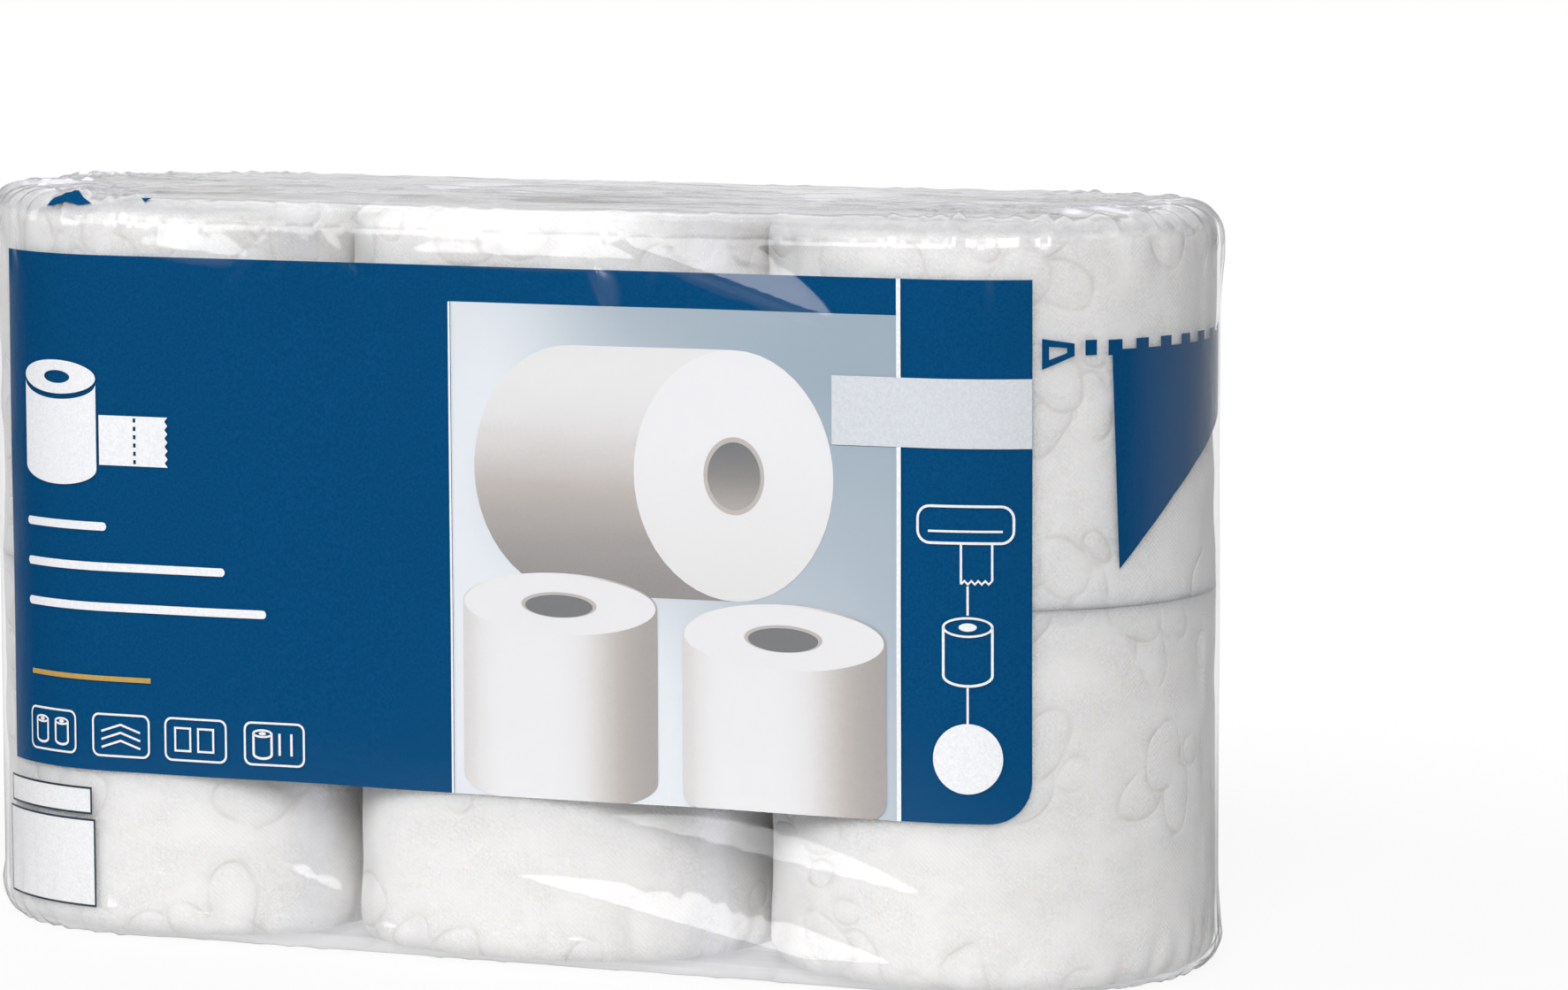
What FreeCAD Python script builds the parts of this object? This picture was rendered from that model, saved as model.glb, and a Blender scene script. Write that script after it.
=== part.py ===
"""Pack of six toilet paper rolls, three across and two high, in one folded and sealed clear film.

Millimetres. The origin is at the bottom centre, +X runs along the three rolls, the front faces -Y, +Z is up.
"""
import FreeCAD
import Part
import Sketcher
import math
import os

from FreeCAD import Vector

DIMENSIONS = {
    # one roll and its core
    "roll_diameter": 117.0,
    "roll_height": 100.0,
    "edge_bevel": 3.0,
    "turn_radius": 40.0,
    "turn_growth": 3.0,
    "turn_step": 0.4,
    "core_diameter": 45.0,
    "core_wall": 1.1,
    "core_inset": 0.6,
    # how the rolls stand in the pack
    "side_gap": 0.3,
    "layer_gap": 0.3,
    "core_gap": 0.1,
    # the film, a few times thicker than the real 0.04 mm so that it can be a solid
    "film_thickness": 0.3,
    "film_gap": 0.3,
    "valley_dip": 2.6,
    "valley_width": 64.0,
    "flap_seam": 12.0,
    "flap_overlap": 20.0,
    # the gathered film on the round ends
    "pleat_count": 11,
    "pleat_height": 1.5,
    "pleat_run": 30.0,
    "rim_fade": 28.0,
}

COLUMNS = ("left", "middle", "right")
LAYERS = ("bottom", "top")

# straight pieces in one turn of the paper's spiral, and points across the film's dip between two rolls
TURN_SIDES = 24
VALLEY_STEPS = 4

# each roll is turned by this much more than the last, in degrees, so that the paper's edges differ
SPIN_STEP = 67

PITCH = "(sizes.roll_diameter + sizes.side_gap)"
FLOOR = "(3 * sizes.film_thickness + sizes.film_gap)"


def make_sheet(doc):
    """The driving dimensions, one alias a row."""
    sheet = doc.addObject("Spreadsheet::Sheet", "sizes")
    for row, (name, value) in enumerate(DIMENSIONS.items(), start=1):
        sheet.set(f"A{row}", name)
        sheet.set(f"B{row}", str(value))
        sheet.setAlias(f"B{row}", name)
    doc.recompute()
    return sheet


def origin_plane(body, role):
    for feature in body.Origin.OriginFeatures:
        if feature.Role == role:
            return feature
    raise ValueError(f"no plane {role}")


def new_sketch(body, name, role):
    sketch = body.newObject("Sketcher::SketchObject", name)
    sketch.AttachmentSupport = (origin_plane(body, role), [""])
    sketch.MapMode = "FlatFace"
    return sketch


def size(sketch, expression, *constraint):
    """A dimension of the sketch that follows the sheet."""
    index = sketch.addConstraint(Sketcher.Constraint(*constraint))
    sketch.setExpression(f"Constraints[{index}]", expression)


def closed_loop(sketch, points):
    """Straight edges through the points, each joined to the next."""
    count = len(points)
    for index, point in enumerate(points):
        following = points[(index + 1) % count]
        sketch.addGeometry(Part.LineSegment(Vector(*point), Vector(*following)), False)
    for index in range(count):
        sketch.addConstraint(Sketcher.Constraint("Coincident", index, 2, (index + 1) % count, 1))


def roll_section(body, sheet):
    """Half of the roll's section: square at its hidden end, with a soft edge at the end that shows."""
    bore = sheet.core_diameter / 2 + sheet.core_gap
    outside = sheet.roll_diameter / 2
    top = sheet.roll_height - sheet.turn_step
    bevel = sheet.edge_bevel
    sketch = new_sketch(body, "section", "XZ_Plane")
    points = [(bore, 0, 0), (outside, 0, 0), (outside, top - bevel, 0), (outside - bevel, top, 0), (bore, top, 0)]
    closed_loop(sketch, points)
    for line in (0, 3):
        sketch.addConstraint(Sketcher.Constraint("Horizontal", line))
    for line in (1, 4):
        sketch.addConstraint(Sketcher.Constraint("Vertical", line))
    sketch.addConstraint(Sketcher.Constraint("PointOnObject", 0, 1, -1))
    size(sketch, "sizes.core_diameter / 2 + sizes.core_gap", "DistanceX", -1, 1, 0, 1, bore)
    size(sketch, "sizes.roll_diameter / 2", "DistanceX", -1, 1, 0, 2, outside)
    size(sketch, "sizes.roll_height - sizes.turn_step", "DistanceY", -1, 1, 3, 1, top)
    size(sketch, "sizes.edge_bevel", "DistanceX", 3, 1, 2, 1, bevel)
    size(sketch, "sizes.edge_bevel", "DistanceY", 2, 1, 3, 1, bevel)
    return sketch


def roll_turn(body, sheet):
    """The inner windings stand a little proud, and their edge is one turn of the paper's spiral."""
    sketch = new_sketch(body, "turn", "XY_Plane")
    sketch.setExpression("AttachmentOffset.Base.z", "sizes.roll_height - sizes.turn_step")
    points = []
    for side in range(TURN_SIDES + 1):
        share = side / TURN_SIDES
        radius = sheet.turn_radius + sheet.turn_growth * share
        angle = 2 * math.pi * share
        points.append((radius * math.cos(angle), radius * math.sin(angle), 0))
    closed_loop(sketch, points)
    bore = sheet.core_diameter / 2 + sheet.core_gap
    hole = sketch.addGeometry(Part.Circle(Vector(0, 0, 0), Vector(0, 0, 1), bore), False)
    sketch.addConstraint(Sketcher.Constraint("Coincident", hole, 3, -1, 1))
    size(sketch, "sizes.core_diameter / 2 + sizes.core_gap", "Radius", hole, bore)
    return sketch


def make_roll(doc, sheet, name):
    """Wound tissue, one solid: the turned form, then the proud turn on its outer end."""
    body = doc.addObject("PartDesign::Body", name)
    body.Label = name
    section = roll_section(body, sheet)
    wound = body.newObject("PartDesign::Revolution", "wound")
    wound.Profile = section
    wound.ReferenceAxis = (section, ["V_Axis"])
    wound.Angle = 360
    doc.recompute()
    turn = body.newObject("PartDesign::Pad", "proud_turn")
    turn.Profile = roll_turn(body, sheet)
    turn.setExpression("Length", "sizes.turn_step")
    return body


def column_x(column):
    """The expression for the middle of a column of rolls."""
    return f"{column - (len(COLUMNS) - 1) / 2} * {PITCH}"


def place_roll(body, column, layer, spin):
    """The lower layer is turned over, so that each roll's soft-edged end faces out of the pack."""
    upper = layer == "top"
    turn_over = FreeCAD.Rotation(Vector(1, 0, 0), 0 if upper else 180)
    body.Placement = FreeCAD.Placement(Vector(), turn_over * FreeCAD.Rotation(Vector(0, 0, 1), spin))
    body.setExpression("Placement.Base.x", column_x(column))
    middle = f"{FLOOR} + sizes.roll_height"
    body.setExpression("Placement.Base.z", f"{middle} + sizes.layer_gap" if upper else middle)


def make_core(doc, column, layer):
    """One cardboard tube, a little inside the roll's soft-edged end."""
    tube = doc.addObject("Part::Cut", f"core_{layer}_{COLUMNS[column]}")
    tube.Base = doc.addObject("Part::Cylinder", f"{tube.Name}_outside")
    tube.Tool = doc.addObject("Part::Cylinder", f"{tube.Name}_bore")
    tube.Base.setExpression("Radius", "sizes.core_diameter / 2")
    tube.Tool.setExpression("Radius", "sizes.core_diameter / 2 - sizes.core_wall")
    for cylinder in (tube.Base, tube.Tool):
        cylinder.setExpression("Height", "sizes.roll_height - sizes.core_inset")
    tube.setExpression("Placement.Base.x", column_x(column))
    above = f"{FLOOR} + sizes.roll_height + sizes.layer_gap"
    tube.setExpression("Placement.Base.z", above if layer == "top" else f"{FLOOR} + sizes.core_inset")
    return tube


def make_cores(doc):
    """The six tubes share one node, each a solid of its own."""
    cores = doc.addObject("Part::Compound", "cardboard_cores")
    cores.Label = "cardboard_cores"
    cores.Links = [make_core(doc, column, layer) for layer in LAYERS for column in range(len(COLUMNS))]
    return cores


class Film:
    """The film as folded facets between outlines, from the sheet's sizes."""

    def __init__(self, sheet):
        self.sheet = sheet
        self.pitch = sheet.roll_diameter + sheet.side_gap
        self.end_x = (len(COLUMNS) - 1) / 2 * self.pitch
        self.thickness = sheet.film_thickness
        self.radius = sheet.roll_diameter / 2 + sheet.film_gap + self.thickness
        self.edge = sheet.edge_bevel + 2 * sheet.film_gap
        self.corner = self.edge * (1 - math.sqrt(0.5))
        self.bottom = 2 * self.thickness
        inside = len(LAYERS) * sheet.roll_height + sheet.layer_gap + 2 * sheet.film_gap
        self.top = self.bottom + inside + 2 * self.thickness

    def valleys(self):
        """The x of each valley between two rolls."""
        return [(index + 0.5) * self.pitch - self.end_x for index in range(len(COLUMNS) - 1)]

    def long_side(self):
        """Points across each valley: their x, and how far the taut film sinks there, from 0 to 1."""
        half = self.sheet.valley_width / 2
        for valley in self.valleys():
            for step in range(VALLEY_STEPS + 1):
                share = 2 * step / VALLEY_STEPS - 1
                yield valley + half * share, math.cos(math.pi / 2 * share) ** 2

    def outline(self, z, inset, ridge_out=0.0, ridge_up=0.0, dip=0.0):
        """A closed outline. Every second point on the round ends is a pleat's ridge.

        The facets of the round ends touch the circle at their middles, so that they clear the rolls.
        """
        radius = self.radius - inset
        steps = 2 * int(self.sheet.pleat_count)
        around = radius / math.cos(math.pi / steps / 2)
        points = []
        for side in (1, -1):
            for step in range(steps + 1):
                ridge = step % 2
                angle = math.pi * (step / steps - 0.5)
                reach = around + ridge * ridge_out
                x = self.end_x + reach * math.cos(angle)
                y = max(-radius, min(radius, reach * math.sin(angle)))
                points.append(Vector(side * x, side * y, z + ridge * ridge_up))
            for x, sunk in self.long_side():
                y = radius - dip * self.sheet.valley_dip * sunk
                points.append(Vector(-side * x, side * y, z))
        return points

    def skin(self, levels):
        """A closed form of flat facets, from the lowest outline to the highest."""
        outlines = [self.outline(*level) for level in levels]
        faces = [Part.Face(Part.makePolygon(ends + ends[:1])) for ends in (outlines[0], outlines[-1])]
        for lower, upper in zip(outlines, outlines[1:]):
            for index, corner in enumerate(lower):
                following = (index + 1) % len(lower)
                for third in ((corner, lower[following], upper[index]),
                              (lower[following], upper[following], upper[index])):
                    faces.append(Part.Face(Part.makePolygon(list(third) + [third[0]])))
        shell = Part.makeShell(faces)
        shell.sewShape()
        solid = Part.Solid(shell)
        if solid.Volume < 0:
            solid.reverse()
        return solid

    def both_ends(self, levels):
        """Levels measured in from the top, mirrored to the base, where the pleats are pressed flat."""
        flat = 2 * self.thickness
        lower = [(self.bottom + up, inset, out, -min(rise, flat), dip) for up, inset, out, rise, dip in levels]
        upper = [(self.top - down, inset, out, rise, dip) for down, inset, out, rise, dip in levels]
        return self.skin(lower + upper[::-1])

    def outer(self):
        """Outside: gathered in pleats over both rims of the round ends, smooth on the wall between."""
        ridge = self.sheet.pleat_height
        return self.both_ends([
            (0.0, self.sheet.pleat_run, 0.0, 0.0, 0.0),
            (0.0, self.edge, 0.0, ridge, 0.0),
            (self.corner, self.corner, ridge * math.sqrt(0.5), ridge * math.sqrt(0.5), 0.0),
            (self.edge, 0.0, ridge, 0.0, 0.0),
            (self.edge + self.sheet.rim_fade, 0.0, 0.0, 0.0, 1.0),
        ])

    def inner(self):
        """Inside: the room for the rolls, with the same rims and valleys but no pleats."""
        wall = self.thickness
        return self.both_ends([
            (wall, self.edge + wall, 0.0, 0.0, 0.0),
            (self.corner + wall, self.corner + wall, 0.0, 0.0, 0.0),
            (self.edge + wall, wall, 0.0, 0.0, 0.0),
            (self.edge + self.sheet.rim_fade, wall, 0.0, 0.0, 1.0),
        ])

    def flap(self, z, height, front, back):
        """A long flap on the top or the base, between two lines along the pack."""
        outline = self.outline(z, self.edge)
        cap = Part.Face(Part.makePolygon(outline + outline[:1])).extrude(Vector(0, 0, height))
        length = 2 * (self.end_x + self.radius)
        strip = Part.makeBox(length, back - front, height, Vector(-length / 2, front, z))
        return cap.common(strip)

    def flaps(self):
        """On the top, the back flap lies on the film and the front flap is sealed over its edge.

        On the base, the front flap is pressed flat to the depth of both, and the pack rests on it.
        """
        layer = self.thickness
        seam = -self.sheet.flap_seam
        under = seam - self.sheet.flap_overlap
        return [
            self.flap(self.top, layer, -self.radius, self.radius),
            self.flap(self.top + layer, layer, under, seam),
            self.flap(self.bottom - layer, layer, -seam, self.radius),
            self.flap(0.0, 2 * layer, -self.radius, -seam),
        ]


def make_film(doc, sheet):
    """One closed film: wall, gathered rims and sealed flaps, hollow where the rolls stand."""
    film = Film(sheet)
    feature = doc.addObject("Part::Feature", "wrap_film")
    feature.Label = "wrap_film"
    feature.Shape = film.outer().fuse(film.flaps()).removeSplitter().cut(film.inner())
    return feature


def check(doc, nodes):
    """Every feature computed, and every sub-part valid with as many solids as it has pieces."""
    for item in doc.Objects:
        if "Invalid" in item.State or "Error" in item.State:
            raise RuntimeError(f"{item.Name} did not compute: {item.State}")
    for node, pieces in nodes.items():
        if node.Shape.isNull() or not node.Shape.isValid():
            raise RuntimeError(f"{node.Label} has no valid shape")
        if len(node.Shape.Solids) != pieces:
            raise RuntimeError(f"{node.Label} has {len(node.Shape.Solids)} solids")


def main():
    doc = FreeCAD.newDocument("toilet_paper_pack")
    sheet = make_sheet(doc)
    nodes = {make_film(doc, sheet): 1}
    for layer in LAYERS:
        for column, side in enumerate(COLUMNS):
            roll = make_roll(doc, sheet, f"tissue_roll_{layer}_{side}")
            place_roll(roll, column, layer, SPIN_STEP * len(nodes))
            nodes[roll] = 1
    nodes[make_cores(doc)] = len(LAYERS) * len(COLUMNS)
    doc.recompute()
    check(doc, nodes)
    os.makedirs("parts", exist_ok=True)
    for node in nodes:
        node.Shape.exportStep(f"parts/{node.Label}.step")
        box = node.Shape.BoundBox
        print(f"{node.Label}: {node.Shape.Volume:.0f} mm3, x {box.XMin:.2f} {box.XMax:.2f}, "
              f"y {box.YMin:.2f} {box.YMax:.2f}, z {box.ZMin:.2f} {box.ZMax:.2f}")


main()
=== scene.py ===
"""The look of a film-wrapped pack of toilet paper rolls: tissue, cores, clear film and the print on the film.

Lengths are in millimetres until a mesh is made. A place on the film's wall is given by the way round from the
middle of the front, positive to the right, and the height above the floor.
"""

import math

import bmesh
import bpy
import numpy as np
from mathutils import Matrix, Vector


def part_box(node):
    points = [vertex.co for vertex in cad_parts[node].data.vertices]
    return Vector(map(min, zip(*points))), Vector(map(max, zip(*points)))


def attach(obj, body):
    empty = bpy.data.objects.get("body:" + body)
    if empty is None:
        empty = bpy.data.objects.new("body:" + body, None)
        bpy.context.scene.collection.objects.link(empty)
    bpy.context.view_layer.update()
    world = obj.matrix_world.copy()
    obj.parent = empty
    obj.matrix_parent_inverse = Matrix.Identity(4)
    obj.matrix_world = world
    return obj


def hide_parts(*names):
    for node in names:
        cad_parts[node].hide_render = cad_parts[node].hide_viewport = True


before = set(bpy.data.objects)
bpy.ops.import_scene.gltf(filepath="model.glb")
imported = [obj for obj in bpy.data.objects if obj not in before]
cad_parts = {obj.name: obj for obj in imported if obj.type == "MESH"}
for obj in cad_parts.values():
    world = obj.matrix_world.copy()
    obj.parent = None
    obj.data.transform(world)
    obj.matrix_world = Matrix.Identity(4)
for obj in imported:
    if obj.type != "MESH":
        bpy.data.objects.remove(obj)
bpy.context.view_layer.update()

MM = 0.001
PHOTO_WIDTH = 1773
PHOTO_HEIGHT = 1119


def node_box(node):
    """Lowest and highest corner of a solid, in millimetres."""
    low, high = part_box(node)
    return [value / MM for value in low], [value / MM for value in high]


# Sizes that the solids give
ROLLS = [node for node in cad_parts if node.startswith("tissue_roll_")]
RIGHT_LOW, RIGHT_HIGH = node_box("tissue_roll_top_right")
FILM_LOW, FILM_HIGH = node_box("wrap_film")
END_X = (RIGHT_LOW[0] + RIGHT_HIGH[0]) / 2
ROLL_RADIUS = (RIGHT_HIGH[2] - RIGHT_LOW[2]) * 0.585
FILM_RADIUS = FILM_HIGH[1]
PITCH = END_X
VALLEYS = (-PITCH / 2, PITCH / 2)
LAYER_Z = RIGHT_LOW[2]
PACK_TOP = RIGHT_HIGH[2] + 0.7
RIM = 8.4
ROLL_EDGE = 6.2
HALF_ROUND = math.pi * FILM_RADIUS
HALF_WAY_ROUND = 2 * END_X + HALF_ROUND


# Noise


def lattice(seed, cells=64):
    return np.random.RandomState(seed).rand(cells, cells)


def noise(x, y, seed):
    """Smooth noise from 0 to 1, about one bump to a unit."""
    grid = lattice(seed)
    cells = grid.shape[0]
    x0 = np.floor(x).astype(int)
    y0 = np.floor(y).astype(int)
    fx = x - x0
    fy = y - y0
    fx = fx * fx * (3 - 2 * fx)
    fy = fy * fy * (3 - 2 * fy)
    low = grid[x0 % cells, y0 % cells] * (1 - fx) + grid[(x0 + 1) % cells, y0 % cells] * fx
    high = grid[x0 % cells, (y0 + 1) % cells] * (1 - fx) + grid[(x0 + 1) % cells, (y0 + 1) % cells] * fx
    return low * (1 - fy) + high * fy


def ridges(x, y, seed, sharpness=3.0):
    """Thin creases, 1 along each and 0 between."""
    return (1 - np.abs(2 * noise(x, y, seed) - 1)) ** sharpness


def smooth(low, high, value):
    share = np.clip((value - low) / (high - low), 0, 1)
    return share * share * (3 - 2 * share)


# The film's form


def around(way):
    """The middle line's point and the outward direction at a way round from the middle of the front."""
    way = np.asarray(way, float)
    side = np.where(way < 0, -1.0, 1.0)
    far = np.abs(way)
    angle = np.clip((far - END_X) / FILM_RADIUS, 0, math.pi)
    on_back = far > END_X + HALF_ROUND
    middle_x = np.where(far < END_X, way, side * END_X)
    middle_x = np.where(on_back, side * (END_X - (far - END_X - HALF_ROUND)), middle_x)
    return middle_x, side * np.sin(angle), -np.cos(angle)


def crease_lines():
    """Creases on the wall as (start, end, upper side's width, lower side's width, height).

    Taut webs spread from each valley at both rims, and short soft folds lie anywhere.
    """
    draw = np.random.RandomState(11)
    lines = []
    for back in (False, True):
        for valley in VALLEYS:
            centre = valley if not back else math.copysign(HALF_WAY_ROUND, valley) - valley
            for rim_z, up, count, longest in ((RIM, 1, 7, 40), (PACK_TOP - RIM, -1, 5, 26)):
                for index in range(count):
                    lean = (index + 0.5) / count * 2 - 1 + draw.uniform(-0.1, 0.1)
                    reach = draw.uniform(0.45, 1.0) * longest
                    start = (centre + 9 * lean, rim_z - up * 2)
                    end = (centre + 9 * lean + 30 * lean * reach / longest, rim_z + up * reach)
                    width = draw.uniform(1.4, 2.6)
                    lines.append((start, end, width, width * 1.4, draw.uniform(0.3, 0.8)))
    for _ in range(30):
        start = (draw.uniform(-HALF_WAY_ROUND, HALF_WAY_ROUND), draw.uniform(6, PACK_TOP - 6))
        turn = draw.uniform(-0.5, 2.2)
        length = draw.uniform(14, 44)
        end = (start[0] + length * math.cos(turn), start[1] + length * math.sin(turn))
        lines.append((start, end, draw.uniform(2.0, 4.0), draw.uniform(4, 8), draw.uniform(0.08, 0.22)))
    return lines


# Wide folds on the front, each a flat facet of even slope: start, end, greatest width and slope
FRONT_FACETS = [
    ((26, 42), (124, 25), 9.0, 0.24),
    ((-2, 25), (130, 0), 9.0, 0.24),
    ((28, 197), (96, 175), 12.0, 0.25),
    ((-30, 190), (54, 190), 9.0, 0.25),
    ((78, 194), (134, 196), 4.0, 0.26),
    ((-108, 190), (-74, 187), 8.5, 0.23),
    ((25, 195), (34, 172), 5.0, 0.50),
    ((-70, 24), (-44, 15), 4.0, 0.22),
]
CREASES = crease_lines()


def crease_height(way, z):
    """How far the creases stand out of the wall."""
    height = np.zeros(np.broadcast(way, z).shape)
    for (s0, z0), (s1, z1), above, below, tall in CREASES:
        ds = s1 - s0
        dz = z1 - z0
        length = math.hypot(ds, dz)
        along = ((way - s0) * ds + (z - z0) * dz) / length ** 2
        off = ((z - z0) * ds - (way - s0) * dz) / length * math.copysign(1, ds)
        taper = smooth(-0.05, 0.22, along) * (1 - smooth(0.6, 1.05, along))
        upper_side = np.clip(1 - off / above, 0, 1)
        lower_side = np.exp(-(np.minimum(off, 0) / below) ** 2)
        height = np.maximum(height, tall * upper_side * lower_side * taper)
    for (s0, z0), (s1, z1), widest, slope in FRONT_FACETS:
        ds = s1 - s0
        dz = z1 - z0
        length = math.hypot(ds, dz)
        along = np.clip(((way - s0) * ds + (z - z0) * dz) / length ** 2, 0, 1)
        off = ((z - z0) * ds - (way - s0) * dz) / length
        width = widest * np.sin(math.pi * along) ** 0.8
        facet = np.clip(width - off, 0, None) * (off > 0) + width * np.exp(-(np.minimum(off, 0) / 2.2) ** 2) * (off <= 0)
        height = np.maximum(height, slope * facet)
    return height


def pleat_list(side, upper):
    """The gathered pleats of one round end at one rim, spread unevenly."""
    draw = np.random.RandomState(100 + 10 * side + upper)
    pleats = []
    count = 24
    for index in range(count):
        angle = (index + 0.5 + draw.uniform(-0.35, 0.35)) / count * math.pi - math.pi / 2
        pleats.append({
            "angle": angle,
            "width": draw.uniform(2.2, 5.2),
            "height": draw.uniform(0.5, 1.7) if upper else draw.uniform(0.4, 1.2),
            "run": draw.uniform(16, 40),
            "drop": draw.uniform(5, 22) * (1.5 if draw.rand() > 0.75 else 1.0),
            "skew": draw.uniform(-0.5, 0.5),
            "lean": draw.uniform(-0.5, 0.5),
        })
        if angle > 0.6:
            pleats[-1]["height"] *= 0.6
        elif upper:
            pleats[-1]["height"] *= 1.35
    return pleats


PLEATS = {(side, upper): pleat_list(side, upper) for side in (-1, 1) for upper in (False, True)}


def pleat_height(x, y, past_rim, upper):
    """How far the pleats stand out, where past_rim is the way over the rim: above 0 on the cap, below 0 on the wall."""
    height = np.zeros(np.broadcast(x, y, past_rim).shape)
    for side in (-1, 1):
        beyond = side * x - END_X
        angle = np.arctan2(y, np.maximum(beyond, -25) + 18)
        at_rim = np.arctan2(y, np.maximum(beyond, 0.001))
        share = smooth(-18, 4, beyond)
        spread = np.where(beyond > 0, at_rim, angle)
        for pleat in PLEATS[side, upper]:
            line = pleat["angle"] + pleat["skew"] * np.maximum(past_rim, 0) / 60
            off = (spread - line) * FILM_RADIUS / pleat["width"] + pleat["lean"] * past_rim / 20
            tent = np.clip(1 - np.abs(off + 0.35 * np.tanh(off)), 0, 1) ** 1.3
            fade = np.where(past_rim > 0, 1 - smooth(0, pleat["run"], past_rim), 1 - smooth(0, pleat["drop"], -past_rim))
            height = np.maximum(height, pleat["height"] * tent * fade * share)
    return height


def valley_sink(way, z):
    """The taut film's dip between two rolls, on the front and the back."""
    middle_x, out_x, out_y = around(way)
    nearest = np.min([np.abs(middle_x - valley) for valley in VALLEYS], axis=0)
    dip = np.cos(math.pi / 2 * np.clip(nearest / 32, 0, 1)) ** 2 * (np.abs(out_y) > 0.999)
    fade = smooth(RIM, 36, z) * (1 - smooth(PACK_TOP - 36, PACK_TOP - RIM, z))
    return 1.3 * dip * fade


def taut_out(way, z):
    """How far the wall stands out of the plain form, without its creases: this is where the ink lies."""
    return 0.35 * (noise(way / 38, z / 46, 3) - 0.35) - valley_sink(way, z)


def wall_out(way, z):
    """How far the wall stands out of the plain form, creases and pleats included."""
    low_rim = z - RIM
    high_rim = PACK_TOP - RIM - z
    middle_x, out_x, out_y = around(way)
    x = middle_x + FILM_RADIUS * out_x
    y = FILM_RADIUS * out_y
    out = taut_out(way, z) + crease_height(way, z)
    out = out + pleat_height(x, y, -np.maximum(high_rim, 0), True) + pleat_height(x, y, -np.maximum(low_rim, 0), False)
    rim_near = np.exp(-np.maximum(np.minimum(low_rim, high_rim), 0) / 4)
    return out + rim_near * 0.7 * ridges(way / 7, z / 14, 4, 2.0)


def wall_place(way, z, depth=0.0):
    """Points at a depth behind the film's wall, where the film is taut."""
    middle_x, out_x, out_y = around(way)
    reach = FILM_RADIUS + taut_out(way, z) - depth
    return np.stack([middle_x + reach * out_x, reach * out_y, z + 0 * reach], axis=-1)


# The milky veil over each valley, partly the taut film's whiteness and partly painted light that lightens the valley's
# shade: its share of full haze, its width, and how far right of the valley it is centred
MILKY_LIGHT_STRENGTH = 0.5
MILKY_LIGHT_WIDTH = 6.0
MILKY_LIGHT_SHIFT = 1.5
SEAM_TOP = -12.0
SEAL_TOP = -32.0
SEAM_BASE = 12.0
LABEL = {"left": -160.0, "right": 148.0, "low": 46.0, "high": 187.0}


def cap_up(x, y, inset, upper):
    """How far the top or the base stands out of its plain plane: crinkles along the pack, the flap's edge and pleats."""
    taut = smooth(0, 14, inset - RIM)
    crinkle = ridges(x / 46, y / 5.5, 21 + upper, 2.5) * 0.55 + ridges(x / 17, y / 3.8, 23 + upper, 3.0) * 0.35
    crinkle = crinkle + 0.5 * noise(x / 30, y / 18, 25 + upper)
    wave = 1.6 * (noise(x / 40, y * 0 + 3, 27) - 0.5)
    seam = (SEAM_TOP if upper else SEAM_BASE) + wave
    side = -1 if upper else 1
    flap = smooth(-0.6, 0.6, side * (y - seam) * 1.0)
    lip = np.exp(-((y - seam) / 1.6) ** 2) * noise(x / 22, y * 0, 29)
    strength = 1.0 if upper else 0.35
    out = strength * (crinkle * (0.35 + 0.65 * taut) + 0.5 * lip) + 0.45 * flap * taut
    past_rim = np.maximum(inset - RIM, 0)
    out = out + pleat_height(x, y, past_rim, upper)
    edge = np.exp(-past_rim / 4)
    return out + edge * 0.35 * ridges(x / 9, y / 9, 4, 2.0)


def top_place(x, y, depth=0.0):
    """Points at a depth under the film's top and its rounded rim, on the front half."""
    beyond = np.maximum(np.abs(x) - END_X, 0)
    side = np.sign(x)
    reach = np.hypot(beyond, y)
    upright = np.clip((RIM - (FILM_RADIUS - reach)) / RIM, 0, 1)
    rise = np.sqrt(1 - upright ** 2)
    way = np.where(beyond > 0, side * (END_X + FILM_RADIUS * np.arctan2(beyond, -y)), x)
    wall = wall_out(way, np.full_like(x, PACK_TOP - RIM))
    out = cap_up(x, y, FILM_RADIUS - reach, True) * rise ** 2 + wall * upright ** 2 - depth
    height = PACK_TOP - RIM + (RIM + out) * rise
    return np.stack([x + out * upright * side * beyond / reach, y + out * upright * y / reach, height], axis=-1)


def profile():
    """Steps from the middle of the top, over the rim, down the wall and under to the middle of the base.

    Each is (inset from the wall, height, how upright the film is there, which cap it is near).
    """
    cap = [FILM_RADIUS * (1 - share) for share in np.linspace(0, 1, 31)]
    cap = [inset for inset in cap if inset > RIM + 1.2]
    seam_inset = FILM_RADIUS + SEAM_TOP
    cap = sorted(set([inset for inset in cap if abs(inset - seam_inset) > 1.4]
                     + [seam_inset - 0.7, seam_inset, seam_inset + 0.7]), reverse=True)
    steps = [(inset, 1.0, 0.0) for inset in cap]
    for angle in np.linspace(0, math.pi / 2, 11):
        steps.append((RIM * (1 - math.sin(angle)), math.cos(angle), math.sin(angle)))
    heights = [RIM + (PACK_TOP / 2 - RIM) * (share ** 1.4) for share in np.linspace(0, 1, 56)[1:]]
    upper = [(inset, PACK_TOP - RIM + RIM * up, out, True) for inset, up, out in steps]
    wall = [(0.0, PACK_TOP - height, 1.0, True) for height in heights[:-1]]
    wall += [(0.0, height, 1.0, False) for height in reversed(heights)]
    lower = [(inset, RIM - RIM * up, out, False) for inset, up, out in reversed(steps)]
    return upper + wall + lower


def film_ways():
    """The ways round at which the film has a column of points, closer together on the round ends."""
    straight = np.linspace(-END_X, END_X, 200, endpoint=False)
    curved = np.linspace(0, HALF_ROUND, 104, endpoint=False)
    back = np.linspace(0, 2 * END_X, 96, endpoint=False)
    ways = np.concatenate([straight, END_X + curved, END_X + HALF_ROUND + back,
                           END_X + HALF_ROUND + 2 * END_X + curved])
    return np.where(ways > HALF_WAY_ROUND, ways - 2 * HALF_WAY_ROUND, ways)


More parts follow.
